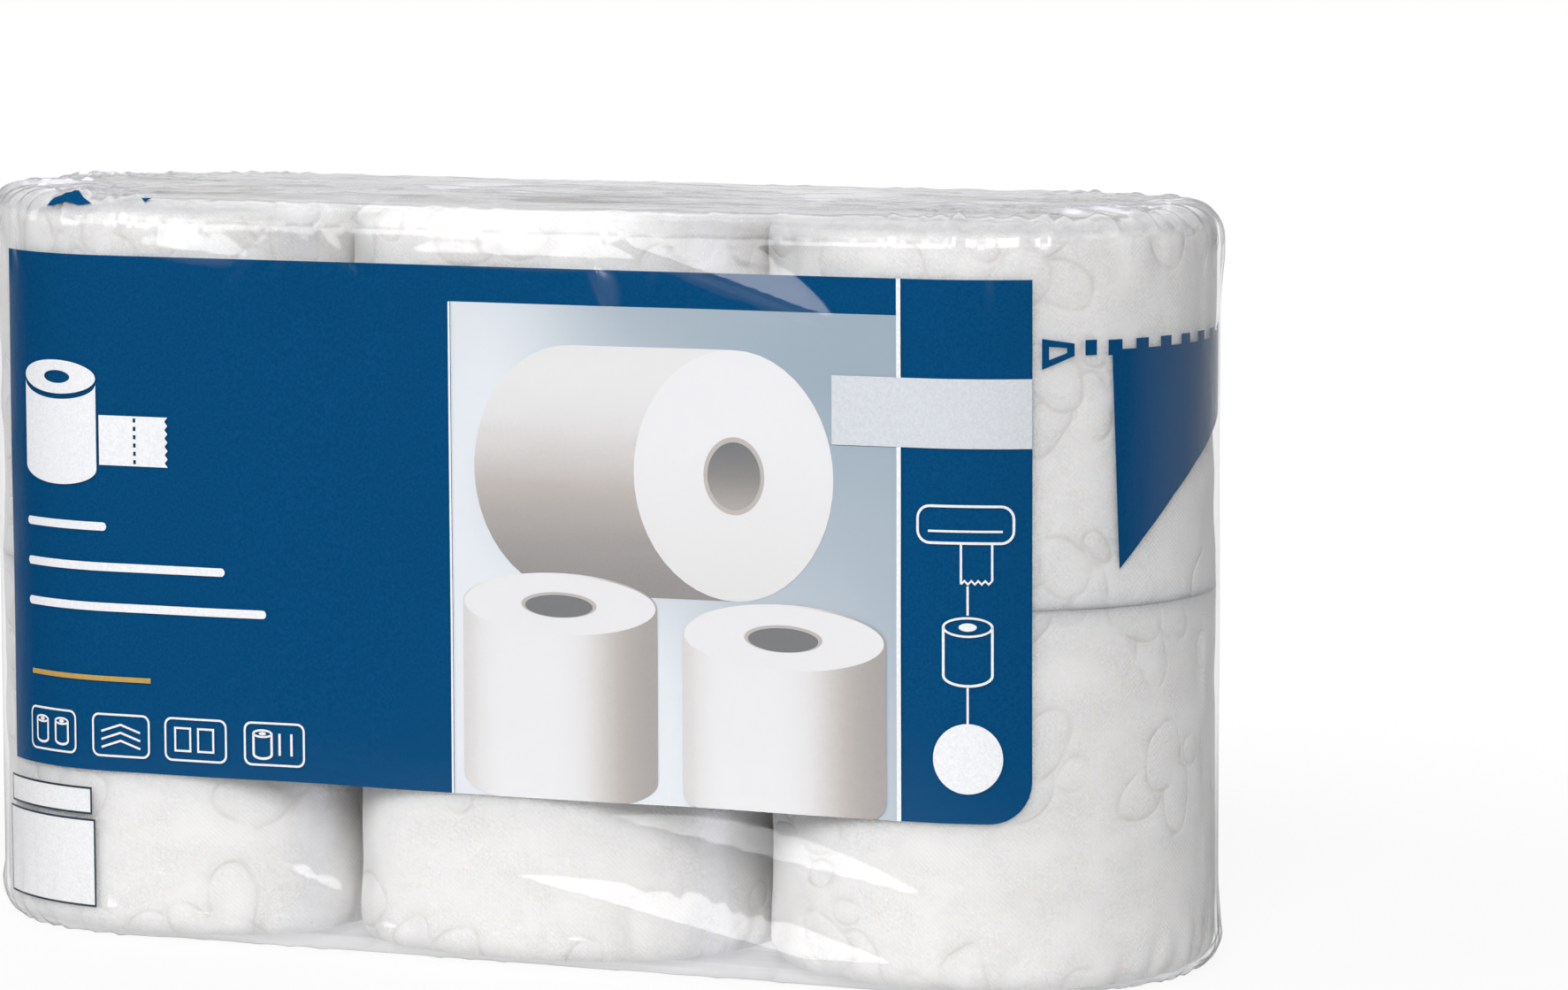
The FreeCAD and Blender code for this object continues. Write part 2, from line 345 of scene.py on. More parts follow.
def valley_milky_light(x, y, z):
    """A milky veil over the valleys, partly the taut film's whiteness and partly painted light on the valleys' shade,
    on the front only above and below the printed field.
    """
    off = np.min([np.abs(x - valley - MILKY_LIGHT_SHIFT) for valley in VALLEYS], axis=0)
    clear = smooth(LABEL["low"] - 2, LABEL["low"], z) * (1 - smooth(LABEL["high"], LABEL["high"] + 2, z))
    return MILKY_LIGHT_STRENGTH * np.exp(-(off / MILKY_LIGHT_WIDTH) ** 2) * (1 - clear * (y < 0))


def film_grid():
    """Every point of the film, column by column, how hazy the film is there, and how grey that haze is. The grey is
    painted shade on the film doubled over the top rim, and part of the haze over the valleys is painted light.
    """
    ways = film_ways()
    columns, haze, grey = [], [], []
    middle_x, out_x, out_y = around(ways)
    for inset, z, upright, near_top in profile():
        reach = FILM_RADIUS - inset
        x = middle_x + reach * out_x
        y = reach * out_y
        if inset > 0:
            cap = cap_up(x, y, np.full_like(x, inset), near_top)
        else:
            cap = 0 * x
        wall = wall_out(ways, np.full_like(x, np.clip(z, RIM, PACK_TOP - RIM))) if upright > 0 else 0 * x
        weight = upright ** 2
        out = wall * weight + cap * (1 - weight)
        flat = 1 - weight
        rise = math.sqrt(max(0.0, 1 - upright ** 2)) * (1 if near_top else -1)
        px = x + out * upright * out_x
        py = y + out * upright * out_y
        pz = z + out * rise
        if not near_top:
            pz = np.maximum(pz, 0.0)
        columns.append(np.stack([px, py, pz], axis=-1))
        smear = noise(x / 52, y / 5.0, 61) * 0.6 + noise(x / 21, y / 2.6, 62) * 0.4
        folded = (0.25 + 0.75 * smooth(0.35, 0.7, smear)) * flat * smooth(1, 9, inset) * (1 if near_top else 0.25)
        sealed = smooth(SEAM_TOP + 0.5, SEAM_TOP - 0.5, y) * smooth(SEAL_TOP - 3, SEAL_TOP, y) * flat * 0.35
        gathered = smooth(0.25, 1.2, wall) * 0.06 * (1 - flat)
        doubled_to = PACK_TOP + 0.6 - 4.8 * smooth(10, 110, np.abs(x)) + 1.6 * (noise(x / 9, y / 9, 63) - 0.5)
        over_rim = smooth(-0.8, 0.8, z - doubled_to) if near_top and upright > 0 else 0 * x
        # Painted shade: where the film is doubled over the rim, its haze is painted grey.
        grey.append(over_rim)
        # Painted light: the milky veil over the valleys lightens their shade.
        milky_light = valley_milky_light(px, y, z) * (1 - flat) if near_top or upright > 0 else 0 * x
        haze.append(np.clip(np.maximum(gathered + folded + sealed + milky_light, 0.75 * over_rim), 0, 1))
    return np.array(columns), {"haze": np.array(haze), "grey": np.array(grey)}


# Meshes


def make_object(name, vertices, faces, materials=()):
    """A smooth-shaded object from points in millimetres."""
    mesh = bpy.data.meshes.new(name)
    mesh.from_pydata([tuple(point) for point in np.asarray(vertices) * MM], [], faces)
    mesh.polygons.foreach_set("use_smooth", [True] * len(mesh.polygons))
    obj = bpy.data.objects.new(name, mesh)
    bpy.context.scene.collection.objects.link(obj)
    for material in materials:
        mesh.materials.append(material)
    mesh.update()
    return obj


def grid_faces(rows, columns, closed=True):
    """Quads between neighbouring rows of points that run round the object."""
    faces = []
    last = columns if closed else columns - 1
    for row in range(rows - 1):
        for column in range(last):
            following = (column + 1) % columns
            a = row * columns
            b = (row + 1) * columns
            faces.append((a + column, b + column, b + following, a + following))
    return faces


def weld(obj, distance=0.02):
    form = bmesh.new()
    form.from_mesh(obj.data)
    bmesh.ops.remove_doubles(form, verts=form.verts, dist=distance * MM)
    bmesh.ops.recalc_face_normals(form, faces=form.faces)
    form.to_mesh(obj.data)
    form.free()


# Materials


def new_material(name):
    material = bpy.data.materials.new(name)
    material.use_nodes = True
    nodes = material.node_tree.nodes
    nodes.clear()
    output = nodes.new("ShaderNodeOutputMaterial")
    return material, nodes, material.node_tree.links, output


def math_node(nodes, links, operation, first, second=None, clamp=False):
    """One arithmetic step on sockets or plain numbers."""
    node = nodes.new("ShaderNodeMath")
    node.operation = operation
    node.use_clamp = clamp
    for index, value in enumerate((first, second)):
        if value is None:
            continue
        if isinstance(value, (int, float)):
            node.inputs[index].default_value = value
        else:
            links.new(value, node.inputs[index])
    return node.outputs[0]


SCATTER_DEPTH = 0.009


def paper_shader(nodes, links, output, colour, roughness, height, distance, strength=1.0, translucent=False):
    shader = nodes.new("ShaderNodeBsdfPrincipled")
    shader.inputs["Roughness"].default_value = roughness
    shader.inputs["Specular IOR Level"].default_value = 0.2
    if translucent:
        shader.inputs["Subsurface Weight"].default_value = 1.0
        shader.inputs["Subsurface Radius"].default_value = (1.0, 0.95, 0.9)
        shader.inputs["Subsurface Scale"].default_value = SCATTER_DEPTH
    if isinstance(colour, tuple):
        shader.inputs["Base Color"].default_value = (*colour, 1)
    else:
        links.new(colour, shader.inputs["Base Color"])
    if height is not None:
        bump = nodes.new("ShaderNodeBump")
        bump.inputs["Strength"].default_value = strength
        bump.inputs["Distance"].default_value = distance
        links.new(height, bump.inputs["Height"])
        links.new(bump.outputs["Normal"], shader.inputs["Normal"])
    links.new(shader.outputs[0], output.inputs["Surface"])
    return shader


def colour_ramp(nodes, links, factor, stops):
    ramp = nodes.new("ShaderNodeValToRGB")
    elements = ramp.color_ramp.elements
    while len(elements) < len(stops):
        elements.new(0.5)
    for element, (place, colour) in zip(elements, stops):
        element.position = place
        element.color = (*colour, 1)
    links.new(factor, ramp.inputs[0])
    return ramp.outputs[0]


TISSUE_COLOUR = (0.89, 0.88, 0.86)
DOT_PITCH = 0.0014
MOTIF_PITCH = 0.046


# Petals of one embossed motif, front to back: centre, half length, half width and turn, in metres and degrees
PETALS = (
    ((0.0066, 0.0016), 0.0098, 0.0070, 24),
    ((-0.0060, 0.0050), 0.0090, 0.0062, -38),
    ((-0.0022, -0.0082), 0.0094, 0.0050, 8),
    ((0.0122, -0.0086), 0.0046, 0.0034, 40),
)
LINE_WIDTH = 0.00095


def petal_edge(nodes, links, vector, centre, half_length, half_width, degrees):
    """How far a point lies outside one petal, in metres, and less than 0 inside it."""
    move = nodes.new("ShaderNodeMapping")
    move.vector_type = "TEXTURE"
    move.inputs["Location"].default_value = (*centre, 0)
    move.inputs["Rotation"].default_value = (0, 0, math.radians(degrees))
    move.inputs["Scale"].default_value = (half_length, half_width, 1)
    links.new(vector, move.inputs["Vector"])
    flat = nodes.new("ShaderNodeVectorMath")
    flat.operation = "MULTIPLY"
    flat.inputs[1].default_value = (1, 1, 0)
    links.new(move.outputs[0], flat.inputs[0])
    length = nodes.new("ShaderNodeVectorMath")
    length.operation = "LENGTH"
    links.new(flat.outputs[0], length.inputs[0])
    off = math_node(nodes, links, "SUBTRACT", length.outputs["Value"], 1.0)
    return math_node(nodes, links, "MULTIPLY", off, (half_length + half_width) / 2)


def petal_lines(nodes, links, vector):
    """1 on the petals' outlines, where each petal hides what lies behind it, and 0 a line's width away."""
    motif = None
    nearest = None
    for petal in PETALS:
        edge = petal_edge(nodes, links, vector, *petal)
        off = math_node(nodes, links, "DIVIDE", math_node(nodes, links, "ABSOLUTE", edge), LINE_WIDTH)
        line = math_node(nodes, links, "SUBTRACT", 1.0, off, clamp=True)
        if motif is None:
            motif, nearest = line, edge
            continue
        shown = math_node(nodes, links, "GREATER_THAN", nearest, 0.0)
        motif = math_node(nodes, links, "MAXIMUM", motif, math_node(nodes, links, "MULTIPLY", line, shown))
        nearest = math_node(nodes, links, "MINIMUM", nearest, edge)
    return motif, nearest


def tissue_wall_material():
    """Soft white tissue with a fine diagonal dot emboss and scattered petals in line emboss, with painted shade along
    the petal lines.
    """
    material, nodes, links, output = new_material("tissue_embossed")
    uv = nodes.new("ShaderNodeUVMap")
    uv.uv_map = "paper"
    split = nodes.new("ShaderNodeSeparateXYZ")
    links.new(uv.outputs[0], split.inputs[0])
    turn = 2 * math.pi / DOT_PITCH
    waves = [math_node(nodes, links, "SINE", math_node(nodes, links, "MULTIPLY", line, turn))
             for line in (split.outputs[0], split.outputs[1])]
    dots = math_node(nodes, links, "MULTIPLY", waves[0], waves[1])

    cells = nodes.new("ShaderNodeTexVoronoi")
    cells.voronoi_dimensions = "2D"
    cells.feature = "F1"
    cells.inputs["Scale"].default_value = 1 / MOTIF_PITCH
    cells.inputs["Randomness"].default_value = 0.5
    bend = nodes.new("ShaderNodeTexNoise")
    bend.inputs["Scale"].default_value = 45.0
    bend.inputs["Detail"].default_value = 1.0
    links.new(uv.outputs[0], bend.inputs["Vector"])
    shift = nodes.new("ShaderNodeVectorMath")
    shift.operation = "MULTIPLY_ADD"
    shift.inputs[1].default_value = (0.009, 0.009, 0)
    links.new(bend.outputs["Color"], shift.inputs[0])
    links.new(uv.outputs[0], shift.inputs[2])
    links.new(shift.outputs[0], cells.inputs["Vector"])
    local = nodes.new("ShaderNodeVectorMath")
    local.operation = "SUBTRACT"
    links.new(shift.outputs[0], local.inputs[0])
    links.new(cells.outputs["Position"], local.inputs[1])
    chance = nodes.new("ShaderNodeSeparateColor")
    links.new(cells.outputs["Color"], chance.inputs[0])
    turned = nodes.new("ShaderNodeVectorRotate")
    turned.rotation_type = "Z_AXIS"
    links.new(local.outputs[0], turned.inputs["Vector"])
    links.new(math_node(nodes, links, "MULTIPLY", chance.outputs[0], 6.28), turned.inputs["Angle"])
    motif, nearest = petal_lines(nodes, links, turned.outputs[0])
    puffed = math_node(nodes, links, "DIVIDE", nearest, -0.004, clamp=True)
    worn = nodes.new("ShaderNodeTexNoise")
    worn.inputs["Scale"].default_value = 110.0
    links.new(uv.outputs[0], worn.inputs["Vector"])
    pressed = nodes.new("ShaderNodeMapRange")
    pressed.inputs["From Min"].default_value = 0.36
    pressed.inputs["From Max"].default_value = 0.58
    pressed.inputs["To Min"].default_value = 0.1
    links.new(worn.outputs["Fac"], pressed.inputs["Value"])
    motif = math_node(nodes, links, "MULTIPLY", motif, pressed.outputs[0])

    soft = nodes.new("ShaderNodeTexNoise")
    soft.inputs["Scale"].default_value = 160.0
    soft.inputs["Detail"].default_value = 3.0
    links.new(uv.outputs[0], soft.inputs["Vector"])
    patchy = nodes.new("ShaderNodeMapRange")
    patchy.inputs["From Min"].default_value = 0.3
    patchy.inputs["From Max"].default_value = 0.65
    patchy.inputs["To Min"].default_value = 0.12
    patchy.inputs["To Max"].default_value = 0.36
    links.new(worn.outputs["Fac"], patchy.inputs["Value"])
    height = math_node(nodes, links, "MULTIPLY", dots, patchy.outputs[0])
    height = math_node(nodes, links, "MULTIPLY", height, math_node(nodes, links, "SUBTRACT", 1.0, motif))
    height = math_node(nodes, links, "SUBTRACT", height, math_node(nodes, links, "MULTIPLY", motif, 1.7))
    height = math_node(nodes, links, "ADD", height, math_node(nodes, links, "MULTIPLY", puffed, 0.5))
    height = math_node(nodes, links, "ADD", height, math_node(nodes, links, "MULTIPLY", soft.outputs["Fac"], 0.8))
    # Painted shade: the petal lines are painted darker, as if shaded in their embossed grooves; the soft noise darkens
    # the paper at random.
    shade = math_node(nodes, links, "ADD", math_node(nodes, links, "MULTIPLY", motif, 0.30),
                      math_node(nodes, links, "MULTIPLY", soft.outputs["Fac"], 0.14))
    colour = colour_ramp(nodes, links, shade, [(0.0, TISSUE_COLOUR), (1.0, (0.70, 0.675, 0.645))])
    paper_shader(nodes, links, output, colour, 0.95, height, 0.0005, 0.9, translucent=True)
    return material


def tissue_end_material():
    """The cut end of the winding: fine turns, a little darker between them."""
    material, nodes, links, output = new_material("tissue_cut_end")
    uv = nodes.new("ShaderNodeUVMap")
    uv.uv_map = "paper"
    radius = nodes.new("ShaderNodeVectorMath")
    radius.operation = "LENGTH"
    links.new(uv.outputs[0], radius.inputs[0])
    wobble = nodes.new("ShaderNodeTexNoise")
    wobble.inputs["Scale"].default_value = 60.0
    links.new(uv.outputs[0], wobble.inputs["Vector"])
    bent = math_node(nodes, links, "ADD", radius.outputs["Value"],
                     math_node(nodes, links, "MULTIPLY", wobble.outputs["Fac"], 0.0022))
    turns = math_node(nodes, links, "SINE", math_node(nodes, links, "MULTIPLY", bent, 2 * math.pi / 0.0009))
    turns = math_node(nodes, links, "ADD", math_node(nodes, links, "MULTIPLY", turns, 0.5), 0.5)
    colour = colour_ramp(nodes, links, turns, [(0.0, (0.66, 0.64, 0.61)), (0.6, TISSUE_COLOUR), (1.0, TISSUE_COLOUR)])
    paper_shader(nodes, links, output, colour, 0.95, turns, 0.0003, 0.8)
    return material


def cardboard_material():
    """Grey-brown board wound in a helix, with a seam line and fine fibres."""
    material, nodes, links, output = new_material("core_board")
    where = nodes.new("ShaderNodeTexCoord")
    split = nodes.new("ShaderNodeSeparateXYZ")
    links.new(where.outputs["Object"], split.inputs[0])
    shifted = math_node(nodes, links, "ADD", split.outputs[0], 10.5 * PITCH * MM)
    wrapped = math_node(nodes, links, "MODULO", shifted, PITCH * MM)
    local_x = math_node(nodes, links, "SUBTRACT", wrapped, PITCH / 2 * MM)
    angle = math_node(nodes, links, "ARCTAN2", split.outputs[1], local_x)
    helix = math_node(nodes, links, "ADD", math_node(nodes, links, "DIVIDE", angle, 2 * math.pi),
                      math_node(nodes, links, "DIVIDE", split.outputs[2], 0.062))
    seam = math_node(nodes, links, "FRACT", math_node(nodes, links, "ADD", helix, 10.0))
    line = math_node(nodes, links, "LESS_THAN", seam, 0.025)
    fibres = nodes.new("ShaderNodeTexNoise")
    fibres.inputs["Scale"].default_value = 900.0
    fibres.inputs["Detail"].default_value = 5.0
    links.new(where.outputs["Object"], fibres.inputs["Vector"])
    mix = math_node(nodes, links, "SUBTRACT", fibres.outputs["Fac"], math_node(nodes, links, "MULTIPLY", line, 0.4))
    colour = colour_ramp(nodes, links, mix, [(0.1, (0.20, 0.17, 0.145)), (0.5, (0.42, 0.38, 0.33)), (0.9, (0.55, 0.50, 0.44))])
    paper_shader(nodes, links, output, colour, 0.9, mix, 0.0004, 0.6)
    return material


def film_material():
    """Clear film: see-through, with glare, fine ripples, and haze where it is folded over itself. The haze is painted
    dark grey over the top rim as painted shade, and the haze over the valleys is partly painted light.
    """
    material, nodes, links, output = new_material("clear_film")
    where = nodes.new("ShaderNodeTexCoord")
    stretch = nodes.new("ShaderNodeMapping")
    stretch.inputs["Scale"].default_value = (14.0, 90.0, 22.0)
    links.new(where.outputs["Object"], stretch.inputs["Vector"])
    ripple = nodes.new("ShaderNodeTexNoise")
    ripple.inputs["Scale"].default_value = 1.6
    ripple.inputs["Detail"].default_value = 4.0
    ripple.inputs["Roughness"].default_value = 0.55
    links.new(stretch.outputs[0], ripple.inputs["Vector"])
    bump = nodes.new("ShaderNodeBump")
    bump.inputs["Strength"].default_value = 0.25
    bump.inputs["Distance"].default_value = 0.0008
    links.new(ripple.outputs["Fac"], bump.inputs["Height"])

    clear = nodes.new("ShaderNodeBsdfTransparent")
    clear.inputs["Color"].default_value = (0.985, 0.985, 0.99, 1)
    glare = nodes.new("ShaderNodeBsdfGlossy")
    glare.inputs["Roughness"].default_value = 0.14
    glare.inputs["Color"].default_value = (1, 1, 1, 1)
    links.new(bump.outputs["Normal"], glare.inputs["Normal"])
    haze = nodes.new("ShaderNodeBsdfDiffuse")
    # Painted shade: the haze turns dark grey where the grey attribute marks the film doubled over the rim.
    grey = nodes.new("ShaderNodeAttribute")
    grey.attribute_name = "grey"
    milk = colour_ramp(nodes, links, grey.outputs["Fac"], [(0.0, (0.70, 0.70, 0.77)), (1.0, (0.40, 0.40, 0.42))])
    links.new(milk, haze.inputs["Color"])
    facing = nodes.new("ShaderNodeLayerWeight")
    facing.inputs["Blend"].default_value = 0.5
    links.new(bump.outputs["Normal"], facing.inputs["Normal"])
    grazing = math_node(nodes, links, "POWER", facing.outputs["Facing"], 5.0)
    gloss = math_node(nodes, links, "ADD", math_node(nodes, links, "MULTIPLY", grazing, 0.85), 0.036, clamp=True)
    amount = nodes.new("ShaderNodeAttribute")
    amount.attribute_name = "haze"
    milky = nodes.new("ShaderNodeMixShader")
    links.new(math_node(nodes, links, "MULTIPLY", amount.outputs["Fac"], 0.6), milky.inputs[0])
    links.new(clear.outputs[0], milky.inputs[1])
    links.new(haze.outputs[0], milky.inputs[2])
    mix = nodes.new("ShaderNodeMixShader")
    links.new(gloss, mix.inputs[0])
    links.new(milky.outputs[0], mix.inputs[1])
    links.new(glare.outputs[0], mix.inputs[2])
    links.new(mix.outputs[0], output.inputs["Surface"])
    return material


def ink_material(name, colour=None, ramp=None):
    """Printed ink, slightly mottled: one colour, or a ramp of colours that follows the mesh's own tone."""
    material, nodes, links, output = new_material(name)
    where = nodes.new("ShaderNodeTexCoord")
    mottle = nodes.new("ShaderNodeTexNoise")
    mottle.inputs["Scale"].default_value = 1400.0
    links.new(where.outputs["Object"], mottle.inputs["Vector"])
    if ramp is None:
        light = tuple(min(1.0, channel * 1.04 + 0.004) for channel in colour)
        dark = tuple(channel * 0.93 for channel in colour)
        tone = colour_ramp(nodes, links, mottle.outputs["Fac"], [(0.3, dark), (0.7, light)])
    else:
        depth = nodes.new("ShaderNodeAttribute")
        depth.attribute_name = "tone"
        grain = math_node(nodes, links, "MULTIPLY", math_node(nodes, links, "SUBTRACT", mottle.outputs["Fac"], 0.5), 0.06)
        tone = colour_ramp(nodes, links, math_node(nodes, links, "ADD", depth.outputs["Fac"], grain), ramp)
    shader = paper_shader(nodes, links, output, tone, 0.5, None, 0)
    shader.inputs["Specular IOR Level"].default_value = 0.0
    return material


# Rolls


def roll_profile(low, high, showing_up):
    """Steps round half a section: (radius, height, which part), from the bore's foot outwards and back.

    The edge that faces out of the pack is soft, and the one against the other layer is pressed square.
    """
    bore = 22.7
    soft, square = ROLL_EDGE, 0.3
    radius = ROLL_RADIUS - 0.2
    low_edge, high_edge = (square, soft) if showing_up else (soft, square)
    fine = np.arange(bore + 0.6, radius - soft, 0.75)
    coarse = np.linspace(bore + 0.6, radius - square, 8)
    low_face, high_face = (coarse, fine) if showing_up else (fine, coarse)
    steps = [(bore, low + 0.5, "end")] + [(r, low, "end") for r in low_face]
    for angle in np.linspace(0.1, math.pi / 2, 6):
        steps.append((radius - low_edge + low_edge * math.sin(angle), low + low_edge * (1 - math.cos(angle)), "wall"))
    steps += [(radius, z, "wall") for z in np.linspace(low + low_edge, high - high_edge, 46)[1:-1]]
    for angle in np.linspace(math.pi / 2, 0.1, 6):
        steps.append((radius - high_edge + high_edge * math.sin(angle), high - high_edge * (1 - math.cos(angle)), "wall"))
    steps += [(r, high, "end") for r in reversed(high_face)] + [(bore, high - 0.5, "end")]
    return steps


# How square the rolls are pressed where they face a valley; 2 is round
PRESSED = {"left valley": 3.3, "right valley": 2.4}


def pressed_shape(node, angles):
    """How far each direction's radius is pressed out into the valleys beside a roll, as a factor."""
    on_left = PRESSED["right valley"] if node.endswith("right") else PRESSED["left valley"]
    on_right = PRESSED["left valley"] if node.endswith("left") else PRESSED["right valley"]
    power = np.where(np.cos(angles) < 0, on_left, on_right)
    outer_side = (node.endswith("left") & (np.cos(angles) < 0)) | (node.endswith("right") & (np.cos(angles) > 0))
    power = np.where(outer_side, 2.0, power)
    return (np.abs(np.cos(angles)) ** power + np.abs(np.sin(angles)) ** power) ** (-1 / power)


def crush_list(seed):
    """Short creases in a roll's soft edge: direction, width, depth, length and slant."""
    draw = np.random.RandomState(seed)
    return [(draw.uniform(-math.pi, math.pi), draw.uniform(1.5, 3.2), draw.uniform(0.5, 1.7), draw.uniform(9, 26),
             draw.uniform(-0.6, 0.6)) for _ in range(34)]


def crush_depth(angles, from_end, creases):
    """How deep the creases are at a height below the soft end."""
    depth = np.zeros(len(angles))
    for direction, width, deepest, length, slant in creases:
        off = ((angles - direction + math.pi) % (2 * math.pi) - math.pi) * ROLL_RADIUS + slant * from_end
        fade = 1 - smooth(0.15 * length, length, from_end)
        depth = np.maximum(depth, deepest * np.exp(-(off / width) ** 2) * fade)
    return depth


# The layers are pressed together: each roll reaches this far towards the other layer
LAYER_REACH = 0.15


def build_roll(node, materials, seed):
    """One soft roll in place of its solid: dented wall, rounded edges and proud turns on the end that shows."""
    low, high = node_box(node)
    centre_x = (low[0] + high[0]) / 2
    showing_up = "_top_" in node
    if showing_up:
        low[2] -= LAYER_REACH
    else:
        high[2] += LAYER_REACH
    steps = roll_profile(low[2], high[2], showing_up)
    count = 264
    angles = np.linspace(0, 2 * math.pi, count, endpoint=False)
    turn_pitch = 3.1
    creases = crush_list(seed + 3)
    pressed = pressed_shape(node, angles)
    rows = []
    for radius, z, part in steps:
        r = radius * (1 + (pressed - 1) * smooth(26, ROLL_RADIUS, radius))
        height = np.full(count, z)
        if part == "wall":
            dent = noise(angles * 58 / 26, np.full(count, z / 30), seed) * 0.9
            dent = dent + noise(angles * 58 / 9, np.full(count, z / 13), seed + 1) * 0.35
            r = r - dent * math.sin(math.pi * np.clip((z - low[2]) / (high[2] - low[2]), 0, 1)) ** 0.7
            from_soft_end = high[2] - z if showing_up else z - low[2]
            wave = noise(angles * 58 / 44, np.full(count, z / 11), seed + 4) - 0.5
            flush = smooth(0, 12, high[2] - low[2] - from_soft_end)
            r = r - crush_depth(angles, from_soft_end, creases) - 0.95 * np.maximum(wave, -0.2) * flush
        elif (z > (low[2] + high[2]) / 2) == showing_up:
            phase = (radius / turn_pitch - angles / (2 * math.pi)) % 1.0
            groove = np.exp(-((phase - 0.5) / 0.16) ** 2)
            depth = 0.15 + 0.5 * noise(angles * 2, np.full(count, radius / 7), seed + 2)
            height = height - (1 if showing_up else -1) * groove * depth
        rows.append(np.stack([centre_x + r * np.cos(angles), r * np.sin(angles), height], axis=-1))
    points = np.concatenate(rows)
    faces = grid_faces(len(rows), count)
    last = (len(rows) - 1) * count
    faces += [(last + c, c, (c + 1) % count, last + (c + 1) % count) for c in range(count)]
    piece = make_object("soft_" + node, points, faces, materials)
    mesh = piece.data
    parts = [part for _, _, part in steps]
    for index, polygon in enumerate(mesh.polygons):
        row = min(index // count, len(parts) - 1)
        following = parts[(row + 1) % len(parts)]
        polygon.material_index = 0 if parts[row] == "wall" or following == "wall" else 1
    paper = mesh.uv_layers.new(name="paper")
    vertex_at = np.empty(len(mesh.loops), int)
    mesh.loops.foreach_get("vertex_index", vertex_at)
    column = vertex_at % count
    row = vertex_at // count
    first = np.repeat(np.array([polygon.vertices[0] for polygon in mesh.polygons]) % count, 4)
    wrapped = np.where((first == count - 1) & (column == 0), count, column)
    arc = wrapped / count * 2 * math.pi * ROLL_RADIUS * MM + seed * 0.37
    material_of = np.repeat(np.array([polygon.material_index for polygon in mesh.polygons]), 4)
    flat = points[vertex_at]
    along = np.where(material_of == 0, arc, (flat[:, 0] - centre_x) * MM)
    lift = np.where(material_of == 0, flat[:, 2] * MM + seed * 0.11, flat[:, 1] * MM)
    paper.data.foreach_set("uv", np.stack([along, lift], axis=-1).ravel())
    weld(piece, 0.001)
    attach(piece, "root")
    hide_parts(node)
    return piece


# Print: each shape is a loop of (way round, height) points that is laid on the film


def box_loop(s0, z0, s1, z1, radius=0.0):
    """A rectangle, with rounded corners if a radius is given."""
    if radius <= 0:
        return [(s0, z0), (s1, z0), (s1, z1), (s0, z1)]
    points = []
    for corner, (cs, cz) in enumerate(((s1 - radius, z0 + radius), (s1 - radius, z1 - radius),
                                       (s0 + radius, z1 - radius), (s0 + radius, z0 + radius))):
        for step in range(7):
            angle = math.pi / 2 * (corner - 1 + step / 6)
            points.append((cs + radius * math.cos(angle), cz + radius * math.sin(angle)))
    return points


def oval_loop(cs, cz, rs, rz=None, count=40):
    rz = rs if rz is None else rz
    return [(cs + rs * math.cos(2 * math.pi * k / count), cz + rz * math.sin(2 * math.pi * k / count))
            for k in range(count)]


def stroke_loop(points, width):
    """A line of even width along open points, with mitred corners."""
    path = [Vector(point) for point in points]
    left, right = [], []
    for index, point in enumerate(path):
        before = (point - path[index - 1]).normalized() if index else None
        after = (path[index + 1] - point).normalized() if index < len(path) - 1 else None
        heading = (before + after).normalized() if before and after else (before or after)
        across = Vector((-heading.y, heading.x))
        miter = 1.0
        if before and after:
            miter = 1 / max(0.4, heading.dot(after))
        left.append(point + across * width / 2 * miter)
        right.append(point - across * width / 2 * miter)
    return [tuple(point) for point in right + left[::-1]]


def sliced_plate(outer, holes, step):
    """A flat plate in the film's own plane, cut into cells small enough to follow its form."""
    form = bmesh.new()
    edges = []
    for loop in [outer] + list(holes):
        vertices = [form.verts.new((s, z, 0)) for s, z in loop]
        edges += [form.edges.new((a, b)) for a, b in zip(vertices, vertices[1:] + vertices[:1])]
    bmesh.ops.triangle_fill(form, use_beauty=True, use_dissolve=False, edges=edges)
    for axis in (0, 1):
        values = [point[axis] for point in outer]
        cuts = int((max(values) - min(values)) / step)
        for cut in range(1, cuts + 1):
            place = min(values) + cut * (max(values) - min(values)) / (cuts + 1)
            normal = (1, 0, 0) if axis == 0 else (0, 1, 0)
            spot = (place, 0, 0) if axis == 0 else (0, place, 0)
            bmesh.ops.bisect_plane(form, geom=form.verts[:] + form.edges[:] + form.faces[:], plane_co=spot,
                                   plane_no=normal, dist=1e-4)
    bmesh.ops.remove_doubles(form, verts=form.verts, dist=1e-4)
    form.verts.index_update()
    plane = np.array([(v.co.x, v.co.y) for v in form.verts])
    faces = [tuple(v.index for v in face.verts) for face in form.faces]
    form.free()
    return plane, faces


def print_piece(name, shapes, material, depth, lift=0.0, step=3.0, place=None):
    """All the shapes of one ink on the film, as one piece at its own depth behind the film's face.

    A shape is (outer loop, holes) or (outer loop, holes, tone function). Each lies a lift nearer to the face than
    the one before it.
    """
    points, faces, tones = [], [], []
    for index, (outer, holes, *tone) in enumerate(shapes):
        plane, cells = sliced_plate(outer, holes, step)
        start = len(points)
        places = (place or wall_place)(plane[:, 0], plane[:, 1], depth - index * lift)
        points.extend(places.tolist())
        faces.extend(tuple(corner + start for corner in cell) for cell in cells)
        tones.extend(tone[0](plane[:, 0], plane[:, 1]).tolist() if tone else [1.0] * len(plane))
    piece = make_object(name, points, faces, [material])
    layer = piece.data.attributes.new("tone", "FLOAT", "POINT")
    layer.data.foreach_set("value", np.array(tones, dtype=np.float32))
    turn_out(piece)
    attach(piece, "root")
    return piece


